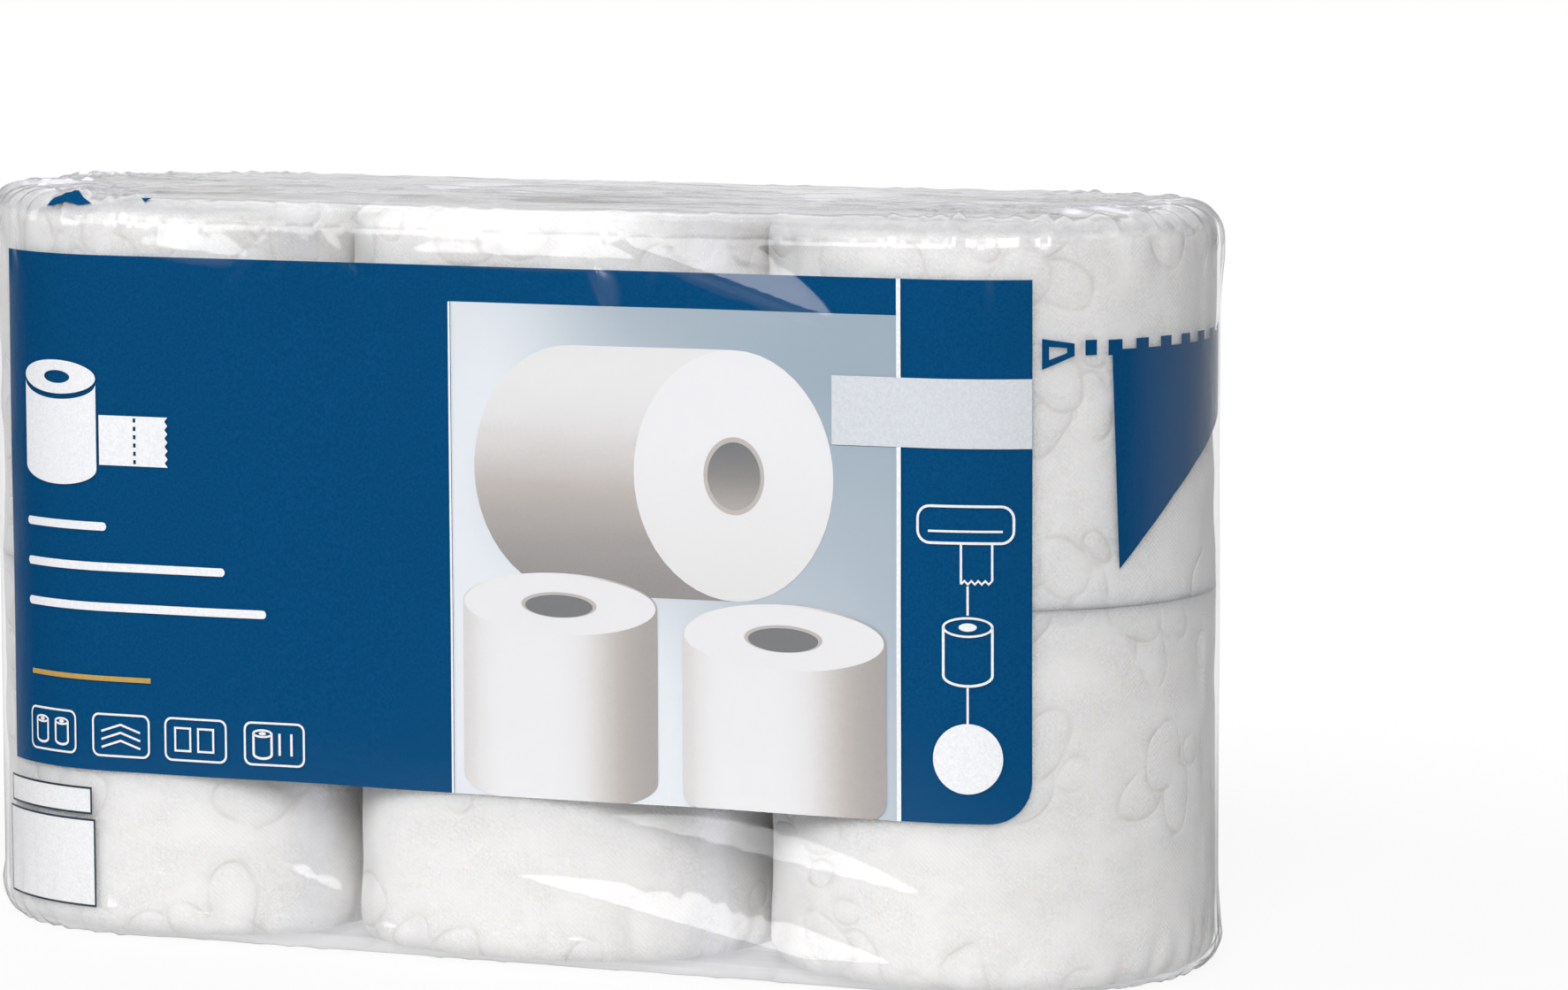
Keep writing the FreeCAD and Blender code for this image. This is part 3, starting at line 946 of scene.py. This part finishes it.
def turn_out(piece):
    """Faces turned so that they look away from the pack's middle line."""
    form = bmesh.new()
    form.from_mesh(piece.data)
    flip = []
    for face in form.faces:
        centre = face.calc_center_median()
        middle = Vector((max(-END_X * MM, min(END_X * MM, centre.x)), 0, min(centre.z, (PACK_TOP - RIM) * MM)))
        if face.normal.dot(centre - middle) < 0:
            flip.append(face)
    bmesh.ops.reverse_faces(form, faces=flip)
    form.to_mesh(piece.data)
    form.free()


PANEL = {"left": -15.0, "right": 112.0, "low": 46.0, "high": 177.5}

INK_DEPTH = {"field": 0.55, "panel": 0.49, "picture": 0.44, "plate": 0.20, "line": 0.12}
PICTURE_LIFT = 0.035
TOP_INK_DEPTH = -0.3


def label_loop():
    """The blue field, square but for its lower right corner."""
    corner = 11.0
    points = [(LABEL["left"], LABEL["low"])]
    for step in range(9):
        angle = -math.pi / 2 + math.pi / 2 * step / 8
        points.append((LABEL["right"] - corner + corner * math.cos(angle),
                       LABEL["low"] + corner + corner * math.sin(angle)))
    return points + [(LABEL["right"], LABEL["high"]), (LABEL["left"], LABEL["high"])]


def panel_tone(s, z):
    """The picture's background: white at the lower left, misty blue-grey to the right and above."""
    across = (s - PANEL["left"]) / (PANEL["right"] - PANEL["left"])
    up = (z - PANEL["low"]) / (PANEL["high"] - PANEL["low"])
    cloud = noise(s / 34, z / 40, 71) - 0.5
    return np.clip(1.0 - 0.62 * smooth(0.25, 1.05, across * 0.7 + up * 0.5) + 0.25 * cloud, 0.1, 1.0)


def across_tone(centre, half):
    """The shading of an upright roll: lightest left of its middle and grey to the right."""
    def tone(s, z):
        share = (s - centre) / half
        return np.clip(0.97 - 0.5 * smooth(-0.1, 1.0, share) - 0.2 * smooth(-0.6, -1.0, share), 0, 1)
    return tone


def down_tone(high, low):
    """The shading of a lying roll: lightest near its upper side, with faint turns along it."""
    def tone(s, z):
        share = (high - z) / (high - low)
        turns = 0.03 * (noise(s / 14, z / 1.7, 72) - 0.5)
        return np.clip(0.90 - 0.55 * smooth(0.1, 1.0, share) + turns, 0, 1)
    return tone


def flat_tone(value):
    return lambda s, z: np.full(len(s), value)


def upright_roll(cs, foot, half, tall, tilt):
    """A standing roll in the picture: body, top face and the hole in its core."""
    top = foot + tall
    body = [(cs + half * math.cos(a), foot + tilt * math.sin(a)) for a in np.linspace(math.pi, 2 * math.pi, 24)]
    body += [(cs + half * math.cos(a), top + tilt * math.sin(a)) for a in np.linspace(0, math.pi, 24)]
    face = oval_loop(cs, top, half * 0.985, tilt * 0.94, 48)
    board = oval_loop(cs, top, half * 0.39, tilt * 0.40)
    hole = oval_loop(cs, top - 0.3, half * 0.35, tilt * 0.35)
    return body, face, board, hole


def lying_roll(cs, cz, radius, length):
    """A roll lying with its end to the right in the picture."""
    narrow = 0.86
    face = oval_loop(cs, cz, radius * narrow, radius, 48)
    body = [(cs + radius * narrow * math.cos(a), cz + radius * math.sin(a))
            for a in np.linspace(-math.pi / 2, math.pi / 2, 24)]
    body += [(cs - length + radius * narrow * math.cos(a), cz + radius * math.sin(a))
             for a in np.linspace(math.pi / 2, 3 * math.pi / 2, 24)]
    board = oval_loop(cs, cz, radius * narrow * 0.31, radius * 0.31)
    hole = oval_loop(cs, cz, radius * narrow * 0.27, radius * 0.27)
    return body, face, board, hole


def clip_to_panel(loop):
    """Keeps a picture's shape inside the panel."""
    return [(min(max(s, PANEL["left"]), PANEL["right"]), min(max(z, PANEL["low"]), PANEL["high"])) for s, z in loop]


def picture_shapes():
    """Three plain rolls, back to front: one lying across, then two standing in front of it."""
    shapes = []
    centre, radius = (66.0, 134.0), 33.0
    body, face, board, hole = lying_roll(*centre, radius, 46.0)
    shapes.append((clip_to_panel(body), [], down_tone(centre[1] + radius, centre[1] - radius)))
    shapes.append((clip_to_panel(face), [], lambda s, z: np.clip(0.97 - 0.12 * (centre[1] - z) / radius, 0, 1)))
    shapes.append((board, [], flat_tone(0.62)))
    shapes.append((hole, [], lambda s, z: np.clip(0.30 - (z - centre[1]) / 40, 0.05, 0.5)))
    for cs, foot, half, tall, tilt in ((16.0, 52.0, 28.0, 46.0, 8.5), (80.0, 50.0, 29.0, 42.0, 9.0)):
        body, face, board, hole = upright_roll(cs, foot, half, tall, tilt)
        shapes.append((clip_to_panel(body), [], across_tone(cs, half)))
        shapes.append((clip_to_panel(face), [], flat_tone(0.95)))
        shapes.append((board, [], flat_tone(0.62)))
        shapes.append((hole, [], flat_tone(0.12)))
    return shapes


def holder_lines(s0, z0, wide, tall):
    """A plain wall holder in line work: a rounded case with a slot, and a torn sheet that hangs out of it."""
    case_low = z0 + tall * 0.5
    shapes = [(box_loop(s0, case_low, s0 + wide, z0 + tall, 3.6),
               [box_loop(s0 + 0.7, case_low + 0.7, s0 + wide - 0.7, z0 + tall - 0.7, 2.9)])]
    shapes.append((stroke_loop([(s0 + 3.2, case_low + 3.4), (s0 + wide - 3.2, case_low + 3.4)], 0.6), []))
    left = s0 + wide * 0.46
    right = left + 8.1
    edge = [(left + 0.9 * k, z0 + (0.9 if k % 2 else 0)) for k in range(10)]
    shapes.append((stroke_loop([(left, case_low + 0.35), (left, z0)], 0.6), []))
    shapes.append((stroke_loop([(right, case_low + 0.35), (right, z0 + 0.9)], 0.6), []))
    shapes.append((stroke_loop(edge, 0.5), []))
    return shapes


def roll_lines(cs, cz, wide, tall):
    """A standing roll in line work."""
    half = wide / 2
    tilt = wide * 0.2
    top = cz + tall / 2 - tilt
    foot = cz - tall / 2 + tilt
    shapes = [(oval_loop(cs, top, half, tilt), [oval_loop(cs, top, half - 0.7, tilt - 0.6)]),
              (oval_loop(cs, top, half * 0.35, tilt * 0.4), [])]
    arc = [(cs + (half - 0.35) * math.cos(a), foot + tilt * math.sin(a)) for a in np.linspace(math.pi, 2 * math.pi, 14)]
    shapes.append((stroke_loop([(cs - half + 0.35, top)] + arc + [(cs + half - 0.35, top)], 0.7), []))
    return shapes


def frame_marks():
    """Four rounded frames, each with a plain mark for rolls, sheets or layers."""
    shapes = []
    for s0, s1 in ((-149.0, -130.0), (-124.5, -106.5), (-102.0, -83.0), (-78.0, -60.0)):
        z0, z1 = 50.0, 62.0
        shapes.append((box_loop(s0, z0, s1, z1, 2.2), [box_loop(s0 + 0.6, z0 + 0.6, s1 - 0.6, z1 - 0.6, 1.7)]))
    shapes += roll_lines(-143.5, 56.0, 5.5, 7.5)
    shapes += roll_lines(-135.5, 56.0, 5.5, 7.5)
    for lift in (0.0, 2.2, 4.4):
        shapes.append((stroke_loop([(-121.5, 52.6 + lift), (-115.5, 54.6 + lift), (-109.5, 52.6 + lift)], 0.6), []))
    for left in (-99.0, -92.0):
        shapes.append((box_loop(left, 52.6, left + 5.2, 59.4), [box_loop(left + 0.6, 53.2, left + 4.6, 58.8)]))
    shapes += roll_lines(-72.5, 56.0, 6.0, 8.0)
    shapes.append((stroke_loop([(-67.5, 53.0), (-67.5, 59.0)], 0.7), []))
    shapes.append((stroke_loop([(-64.0, 53.0), (-64.0, 59.0)], 0.7), []))
    return shapes


def plain_mark(s0, z0, tall):
    """A solid standing roll with a sheet drawn off to its right."""
    radius = tall * 0.40
    tilt = radius * 0.34
    gap = 0.9
    cs = s0 + radius
    top = z0 + tall - tilt
    foot = z0 + tilt
    face = oval_loop(cs, top, radius, tilt, 48)
    core = oval_loop(cs, top, radius * 0.36, tilt * 0.38)
    body = [(cs + radius * math.cos(a), foot + tilt * math.sin(a)) for a in np.linspace(math.pi, 2 * math.pi, 30)]
    body += [(cs + radius * math.cos(a), top - gap * 1.6 + tilt * math.sin(a)) for a in np.linspace(0, -math.pi, 30)]
    left = cs + radius + gap
    length = tall * 0.62
    low, high = foot + tall * 0.04, foot + tall * 0.44
    edge = [(left + length - 0.9 * (k % 2), low + (high - low) * k / 12) for k in range(13)]
    sheet = [(left, low)] + edge + [(left, high)]
    slots = [box_loop(left + length * 0.5, low + (high - low) * (k + 0.25) / 6, left + length * 0.5 + 0.8,
                      low + (high - low) * (k + 0.75) / 6) for k in range(6)]
    return [(body, []), (face, [core]), (sheet, slots)]


def rule_bars():
    """Plain rules on the left of the blue field."""
    bars = []
    for length, height in ((30.0, 112.0), (66.0, 101.0), (78.0, 90.0)):
        bars.append((box_loop(-149.0, height, -149.0 + length, height + 2.3, 1.1), []))
    return bars


def opening_print():
    """The easy-open mark on the right end: a pointer, a dash, a notched band and a wedge below it."""
    shapes = [
        ([(150.5, 163.8), (159.3, 167.2), (159.3, 170.4), (150.5, 171.8)],
         [[(152.4, 166.3), (157.2, 168.0), (157.2, 169.3), (152.4, 169.7)]]),
        (box_loop(162.3, 167.2, 165.6, 171.2), []),
    ]
    merlon, pitch = 4.3, 8.8
    start, end = 169.0, END_X + HALF_ROUND * 0.86
    count = int((end - start) / pitch)
    top = []
    for index in range(count):
        left = start + index * pitch
        top += [(left, 171.0), (left + merlon, 171.0), (left + merlon, 168.4), (left + pitch, 168.4)]
    last = start + count * pitch
    shapes.append(([(start, 167.0), (last, 167.0)] + top[::-1], []))
    slope = [(172.5, 111.3), (181.0, 119.6), (192.0, 129.1), (203.0, 136.6), (216.0, 143.4), (232.0, 149.0),
             (250.0, 153.4), (270.0, 157.6), (286.0, 162.0), (294.0, 167.2)]
    shapes.append(([(170.2, 167.2)] + slope, []))
    return shapes


def build_print():
    blue = ink_material("ink_blue", (0.001, 0.068, 0.19))
    white = ink_material("ink_white", (0.90, 0.91, 0.92))
    band = ink_material("ink_band", (0.69, 0.72, 0.75))
    panel = ink_material("ink_pale", ramp=[(0.0, (0.23, 0.33, 0.40)), (0.5, (0.44, 0.51, 0.57)),
                                           (1.0, (0.80, 0.83, 0.86))])
    paper = ink_material("ink_picture", ramp=[(0.0, (0.17, 0.18, 0.19)), (0.3, (0.28, 0.27, 0.265)),
                                              (0.6, (0.52, 0.48, 0.455)), (0.85, (0.78, 0.77, 0.76)),
                                              (1.0, (0.84, 0.84, 0.85))])
    gold = ink_material("ink_gold", (0.55, 0.36, 0.10))
    dark = ink_material("ink_dark", (0.03, 0.045, 0.07))
    panel_loop = box_loop(PANEL["left"], PANEL["low"], PANEL["right"], PANEL["high"])
    print_piece("print_blue_field", [(label_loop(), [])], blue, INK_DEPTH["field"])
    print_piece("print_blue_opening", opening_print(), blue, INK_DEPTH["field"], step=3.0)
    print_piece("print_panel", [(panel_loop, [], panel_tone)], panel, INK_DEPTH["panel"])
    print_piece("print_picture", picture_shapes(), paper, INK_DEPTH["picture"], PICTURE_LIFT)
    band_low, band_high = 143.5, 161.5
    print_piece("print_white_band", [(box_loop(94.0, band_low, 147.9, band_high), [])], band, INK_DEPTH["plate"])
    seam = PANEL["right"] + 0.6
    strip = 131.2
    plain = [
        (box_loop(seam - 0.6, LABEL["low"], seam + 0.6, band_low), []),
        (box_loop(seam - 0.6, band_high, seam + 0.6, LABEL["high"]), []),
        (box_loop(PANEL["left"] - 0.6, LABEL["low"], PANEL["left"], PANEL["high"]), []),
        (stroke_loop([(strip, 108.0), (strip, 100.4)], 0.6), []),
        (stroke_loop([(strip, 81.6), (strip, 72.2)], 0.6), []),
        (oval_loop(strip, 63.0, 9.2), []),
    ]
    plain += holder_lines(117.5, 108.5, 26.0, 20.5) + roll_lines(strip, 91.0, 13.5, 18.0) + frame_marks()
    plain += plain_mark(-149.0, 124.0, 34.0) + rule_bars()
    print_piece("print_white_marks", plain, white, INK_DEPTH["line"])
    print_piece("print_gold_rule", [(stroke_loop([(-148.0, 71.5), (-106.0, 71.5)], 1.4), [])], gold, INK_DEPTH["line"])
    scraps = [([(-138.5, -53.0), (-137.6, -51.0), (-135.8, -49.9), (-133.5, -49.5), (-130.8, -50.5), (-128.4, -52.2),
                (-126.0, -54.0), (-123.5, -55.7), (-127.0, -55.7), (-130.4, -55.3), (-134.6, -54.3)], []),
              ([(-109.6, -53.4), (-106.3, -53.4), (-107.4, -55.2)], [])]
    print_piece("print_blue_top", scraps, blue, TOP_INK_DEPTH, step=1.5, place=top_place)
    boxes = [box_loop(-163.0, 33.6, -125.0, 41.2), box_loop(-165.0, 8.0, -124.0, 32.4)]
    inner = [box_loop(-162.4, 34.2, -125.6, 40.6), box_loop(-164.4, 8.6, -124.6, 31.8)]
    print_piece("print_plain_boxes", [(loop, []) for loop in inner], ink_material("ink_box", (0.88, 0.88, 0.88)), INK_DEPTH["plate"])
    print_piece("print_box_borders", [(outer, [hole]) for outer, hole in zip(boxes, inner)], dark, INK_DEPTH["plate"])


def build_film(material):
    columns, looks = film_grid()
    rows, count, _ = columns.shape
    piece = make_object("clear_film", columns.reshape(-1, 3), grid_faces(rows, count), [material])
    for name, values in looks.items():
        layer = piece.data.attributes.new(name, "FLOAT", "POINT")
        layer.data.foreach_set("value", values.reshape(-1).astype(np.float32))
    weld(piece)
    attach(piece, "root")
    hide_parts("wrap_film")
    return piece


# Stage, lights and camera


FLOOR_RADIUS = 0.75
FLOOR_FADE = (0.22, 0.50)
# How pale the floor is to the camera, and to the light that it throws back
FLOOR_SHADE = (0.80, 0.50)


def build_stage():
    """A pale floor that fades into a white surround, so that no edge of it shows, and is clear from below."""
    material, nodes, links, output = new_material("floor_paper")
    rays = nodes.new("ShaderNodeLightPath")
    where = nodes.new("ShaderNodeTexCoord")
    paper = nodes.new("ShaderNodeBsdfDiffuse")
    shade = math_node(nodes, links, "MULTIPLY", rays.outputs["Is Camera Ray"], FLOOR_SHADE[0] - FLOOR_SHADE[1])
    links.new(math_node(nodes, links, "ADD", shade, FLOOR_SHADE[1]), paper.inputs["Color"])
    glow = nodes.new("ShaderNodeEmission")
    clear = nodes.new("ShaderNodeBsdfTransparent")
    lit = nodes.new("ShaderNodeMixShader")
    links.new(math_node(nodes, links, "MULTIPLY", rays.outputs["Is Camera Ray"], 0.88), lit.inputs[0])
    links.new(paper.outputs[0], lit.inputs[1])
    links.new(glow.outputs[0], lit.inputs[2])
    reach = nodes.new("ShaderNodeVectorMath")
    reach.operation = "LENGTH"
    links.new(where.outputs["Object"], reach.inputs[0])
    fade = nodes.new("ShaderNodeMapRange")
    fade.interpolation_type = "SMOOTHSTEP"
    fade.inputs["From Min"].default_value = FLOOR_FADE[0]
    fade.inputs["From Max"].default_value = FLOOR_FADE[1]
    links.new(reach.outputs["Value"], fade.inputs["Value"])
    mix = nodes.new("ShaderNodeMixShader")
    links.new(fade.outputs[0], mix.inputs[0])
    links.new(lit.outputs[0], mix.inputs[1])
    links.new(clear.outputs[0], mix.inputs[2])
    side = nodes.new("ShaderNodeNewGeometry")
    from_above = nodes.new("ShaderNodeMixShader")
    passing = math_node(nodes, links, "MAXIMUM", side.outputs["Backfacing"], rays.outputs["Is Shadow Ray"])
    links.new(passing, from_above.inputs[0])
    links.new(mix.outputs[0], from_above.inputs[1])
    links.new(clear.outputs[0], from_above.inputs[2])
    links.new(from_above.outputs[0], output.inputs["Surface"])
    edge = FLOOR_RADIUS / MM
    rim = [(edge * math.cos(math.pi * k / 32), edge * math.sin(math.pi * k / 32), 0) for k in range(64)]
    floor = make_object("floor", rim, [tuple(range(64))], [material])
    floor.location.z = -0.0002

    world = bpy.data.worlds.new("studio")
    bpy.context.scene.world = world
    world.use_nodes = True
    nodes = world.node_tree.nodes
    links = world.node_tree.links
    nodes.clear()
    output = nodes.new("ShaderNodeOutputWorld")
    rays = nodes.new("ShaderNodeLightPath")
    ambient = nodes.new("ShaderNodeBackground")
    ambient.inputs["Color"].default_value = (0.96, 0.975, 1.0, 1)
    ambient.inputs["Strength"].default_value = 0.19
    # the studio's far side is white paper, and the room behind the camera is dark
    where = nodes.new("ShaderNodeTexCoord")
    split = nodes.new("ShaderNodeSeparateXYZ")
    links.new(where.outputs["Generated"], split.inputs[0])
    far_side = nodes.new("ShaderNodeMapRange")
    far_side.interpolation_type = "SMOOTHSTEP"
    far_side.inputs["From Min"].default_value = -0.1
    far_side.inputs["From Max"].default_value = 0.6
    far_side.inputs["To Min"].default_value = 0.0
    far_side.inputs["To Max"].default_value = 1.0
    links.new(split.outputs[1], far_side.inputs["Value"])
    room = nodes.new("ShaderNodeBackground")
    window = window_glow(nodes, links, split)
    overhead = nodes.new("ShaderNodeMapRange")
    overhead.interpolation_type = "SMOOTHSTEP"
    overhead.inputs["From Min"].default_value = OVERHEAD_EDGE[0]
    overhead.inputs["From Max"].default_value = OVERHEAD_EDGE[1]
    overhead.inputs["To Max"].default_value = OVERHEAD_STRENGTH
    links.new(split.outputs[2], overhead.inputs["Value"])
    seen_above = math_node(nodes, links, "MAXIMUM", window, overhead.outputs[0])
    links.new(math_node(nodes, links, "ADD", far_side.outputs[0], seen_above), room.inputs["Strength"])
    backdrop = nodes.new("ShaderNodeBackground")
    mirrored = nodes.new("ShaderNodeMixShader")
    links.new(rays.outputs["Is Glossy Ray"], mirrored.inputs[0])
    links.new(ambient.outputs[0], mirrored.inputs[1])
    links.new(room.outputs[0], mirrored.inputs[2])
    backdrop.inputs["Color"].default_value = (1, 1, 1, 1)
    mix = nodes.new("ShaderNodeMixShader")
    seen = math_node(nodes, links, "MAXIMUM", rays.outputs["Is Camera Ray"], rays.outputs["Is Transmission Ray"])
    links.new(seen, mix.inputs[0])
    links.new(mirrored.outputs[0], mix.inputs[1])
    links.new(backdrop.outputs[0], mix.inputs[2])
    links.new(mix.outputs[0], output.inputs["Surface"])


# A bright window in front of the pack, seen only in reflections: how far left and up of the front, and its halves
WINDOW_ACROSS, WINDOW_UP = -0.36, 0.33
WINDOW_HALF_ACROSS, WINDOW_HALF_UP = 0.42, 0.20
WINDOW_STRENGTH = 7.5
# The bright ceiling, also seen only in reflections: how high a direction points where it begins and is full
OVERHEAD_EDGE = (0.50, 0.68)
OVERHEAD_STRENGTH = 4.0


def window_glow(nodes, links, direction):
    """The window's brightness in a direction of the world."""
    forward = math_node(nodes, links, "MAXIMUM", math_node(nodes, links, "MULTIPLY", direction.outputs[1], -1.0), 0.01)
    sides = []
    for axis, centre, half in ((0, WINDOW_ACROSS, WINDOW_HALF_ACROSS), (2, WINDOW_UP, WINDOW_HALF_UP)):
        place = math_node(nodes, links, "DIVIDE", direction.outputs[axis], forward)
        off = math_node(nodes, links, "ABSOLUTE", math_node(nodes, links, "SUBTRACT", place, centre))
        inside = math_node(nodes, links, "SUBTRACT", half, off)
        sides.append(math_node(nodes, links, "DIVIDE", inside, 0.05, clamp=True))
    return math_node(nodes, links, "MULTIPLY", math_node(nodes, links, "MULTIPLY", *sides), WINDOW_STRENGTH)


def area_light(name, place, target, wide, tall, power, colour=(1, 1, 1)):
    lamp = bpy.data.lights.new(name, "AREA")
    lamp.shape = "RECTANGLE"
    lamp.size = wide
    lamp.size_y = tall
    lamp.energy = power
    lamp.color = colour
    obj = bpy.data.objects.new(name, lamp)
    obj.location = place
    obj.rotation_euler = (Vector(target) - Vector(place)).to_track_quat("-Z", "Y").to_euler()
    bpy.context.scene.collection.objects.link(obj)
    return obj


def build_lights():
    middle = (0, 0, 0.1)
    area_light("key_left", (-1.7, -1.5, 1.2), middle, 1.3, 1.1, 21)
    area_light("key_front", (0.80, -2.06, 1.50), middle, 1.0, 1.2, 56)
    area_light("top_strip", (0.0, 0.25, 1.5), middle, 1.6, 0.35, 2.5)
    area_light("edge_right", (1.7, 0.6, 0.7), middle, 0.2, 1.2, 0.9)
    fills = [area_light("fill_back", (-1.1, 2.0, 0.45), middle, 2.0, 0.8, 32),
             area_light("fill_below", (0.0, 0.0, -1.3), (0, 0, 0), 1.4, 0.9, 9)]
    for fill in fills:
        fill.visible_camera = False
        fill.visible_glossy = False


# The camera's place and aim were found from the pack's outline in the photograph
CAMERA_PLACE = (734.8, -1627.1, 321.9)
CAMERA_YAW = math.radians(22.645)
CAMERA_PITCH = math.radians(6.45)
CAMERA_ROLL = math.radians(-0.22)
CAMERA_FOCAL_PIXELS = 7444.0
SENSOR_WIDTH = 36.0


def build_camera():
    data = bpy.data.cameras.new("camera")
    data.sensor_width = SENSOR_WIDTH
    data.sensor_fit = "HORIZONTAL"
    data.lens = CAMERA_FOCAL_PIXELS / PHOTO_WIDTH * SENSOR_WIDTH
    ahead = Vector((-math.sin(CAMERA_YAW) * math.cos(CAMERA_PITCH), math.cos(CAMERA_YAW) * math.cos(CAMERA_PITCH),
                    -math.sin(CAMERA_PITCH)))
    level_right = ahead.cross(Vector((0, 0, 1))).normalized()
    level_up = level_right.cross(ahead)
    right = level_right * math.cos(CAMERA_ROLL) + level_up * math.sin(CAMERA_ROLL)
    up = -level_right * math.sin(CAMERA_ROLL) + level_up * math.cos(CAMERA_ROLL)
    turn = Matrix((right, up, -ahead)).transposed().to_4x4()
    camera = bpy.data.objects.new("camera", data)
    camera.matrix_world = Matrix.Translation(Vector(CAMERA_PLACE) * MM) @ turn
    bpy.context.scene.collection.objects.link(camera)
    bpy.context.scene.camera = camera


def main():
    bpy.context.scene.view_settings.view_transform = "Standard"
    build_camera()
    build_stage()
    build_lights()
    materials = [tissue_wall_material(), tissue_end_material()]
    for seed, node in enumerate(sorted(ROLLS)):
        build_roll(node, materials, 31 + 5 * seed)
    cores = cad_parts["cardboard_cores"]
    cores.data.materials.clear()
    cores.data.materials.append(cardboard_material())
    build_film(film_material())
    build_print()


main()
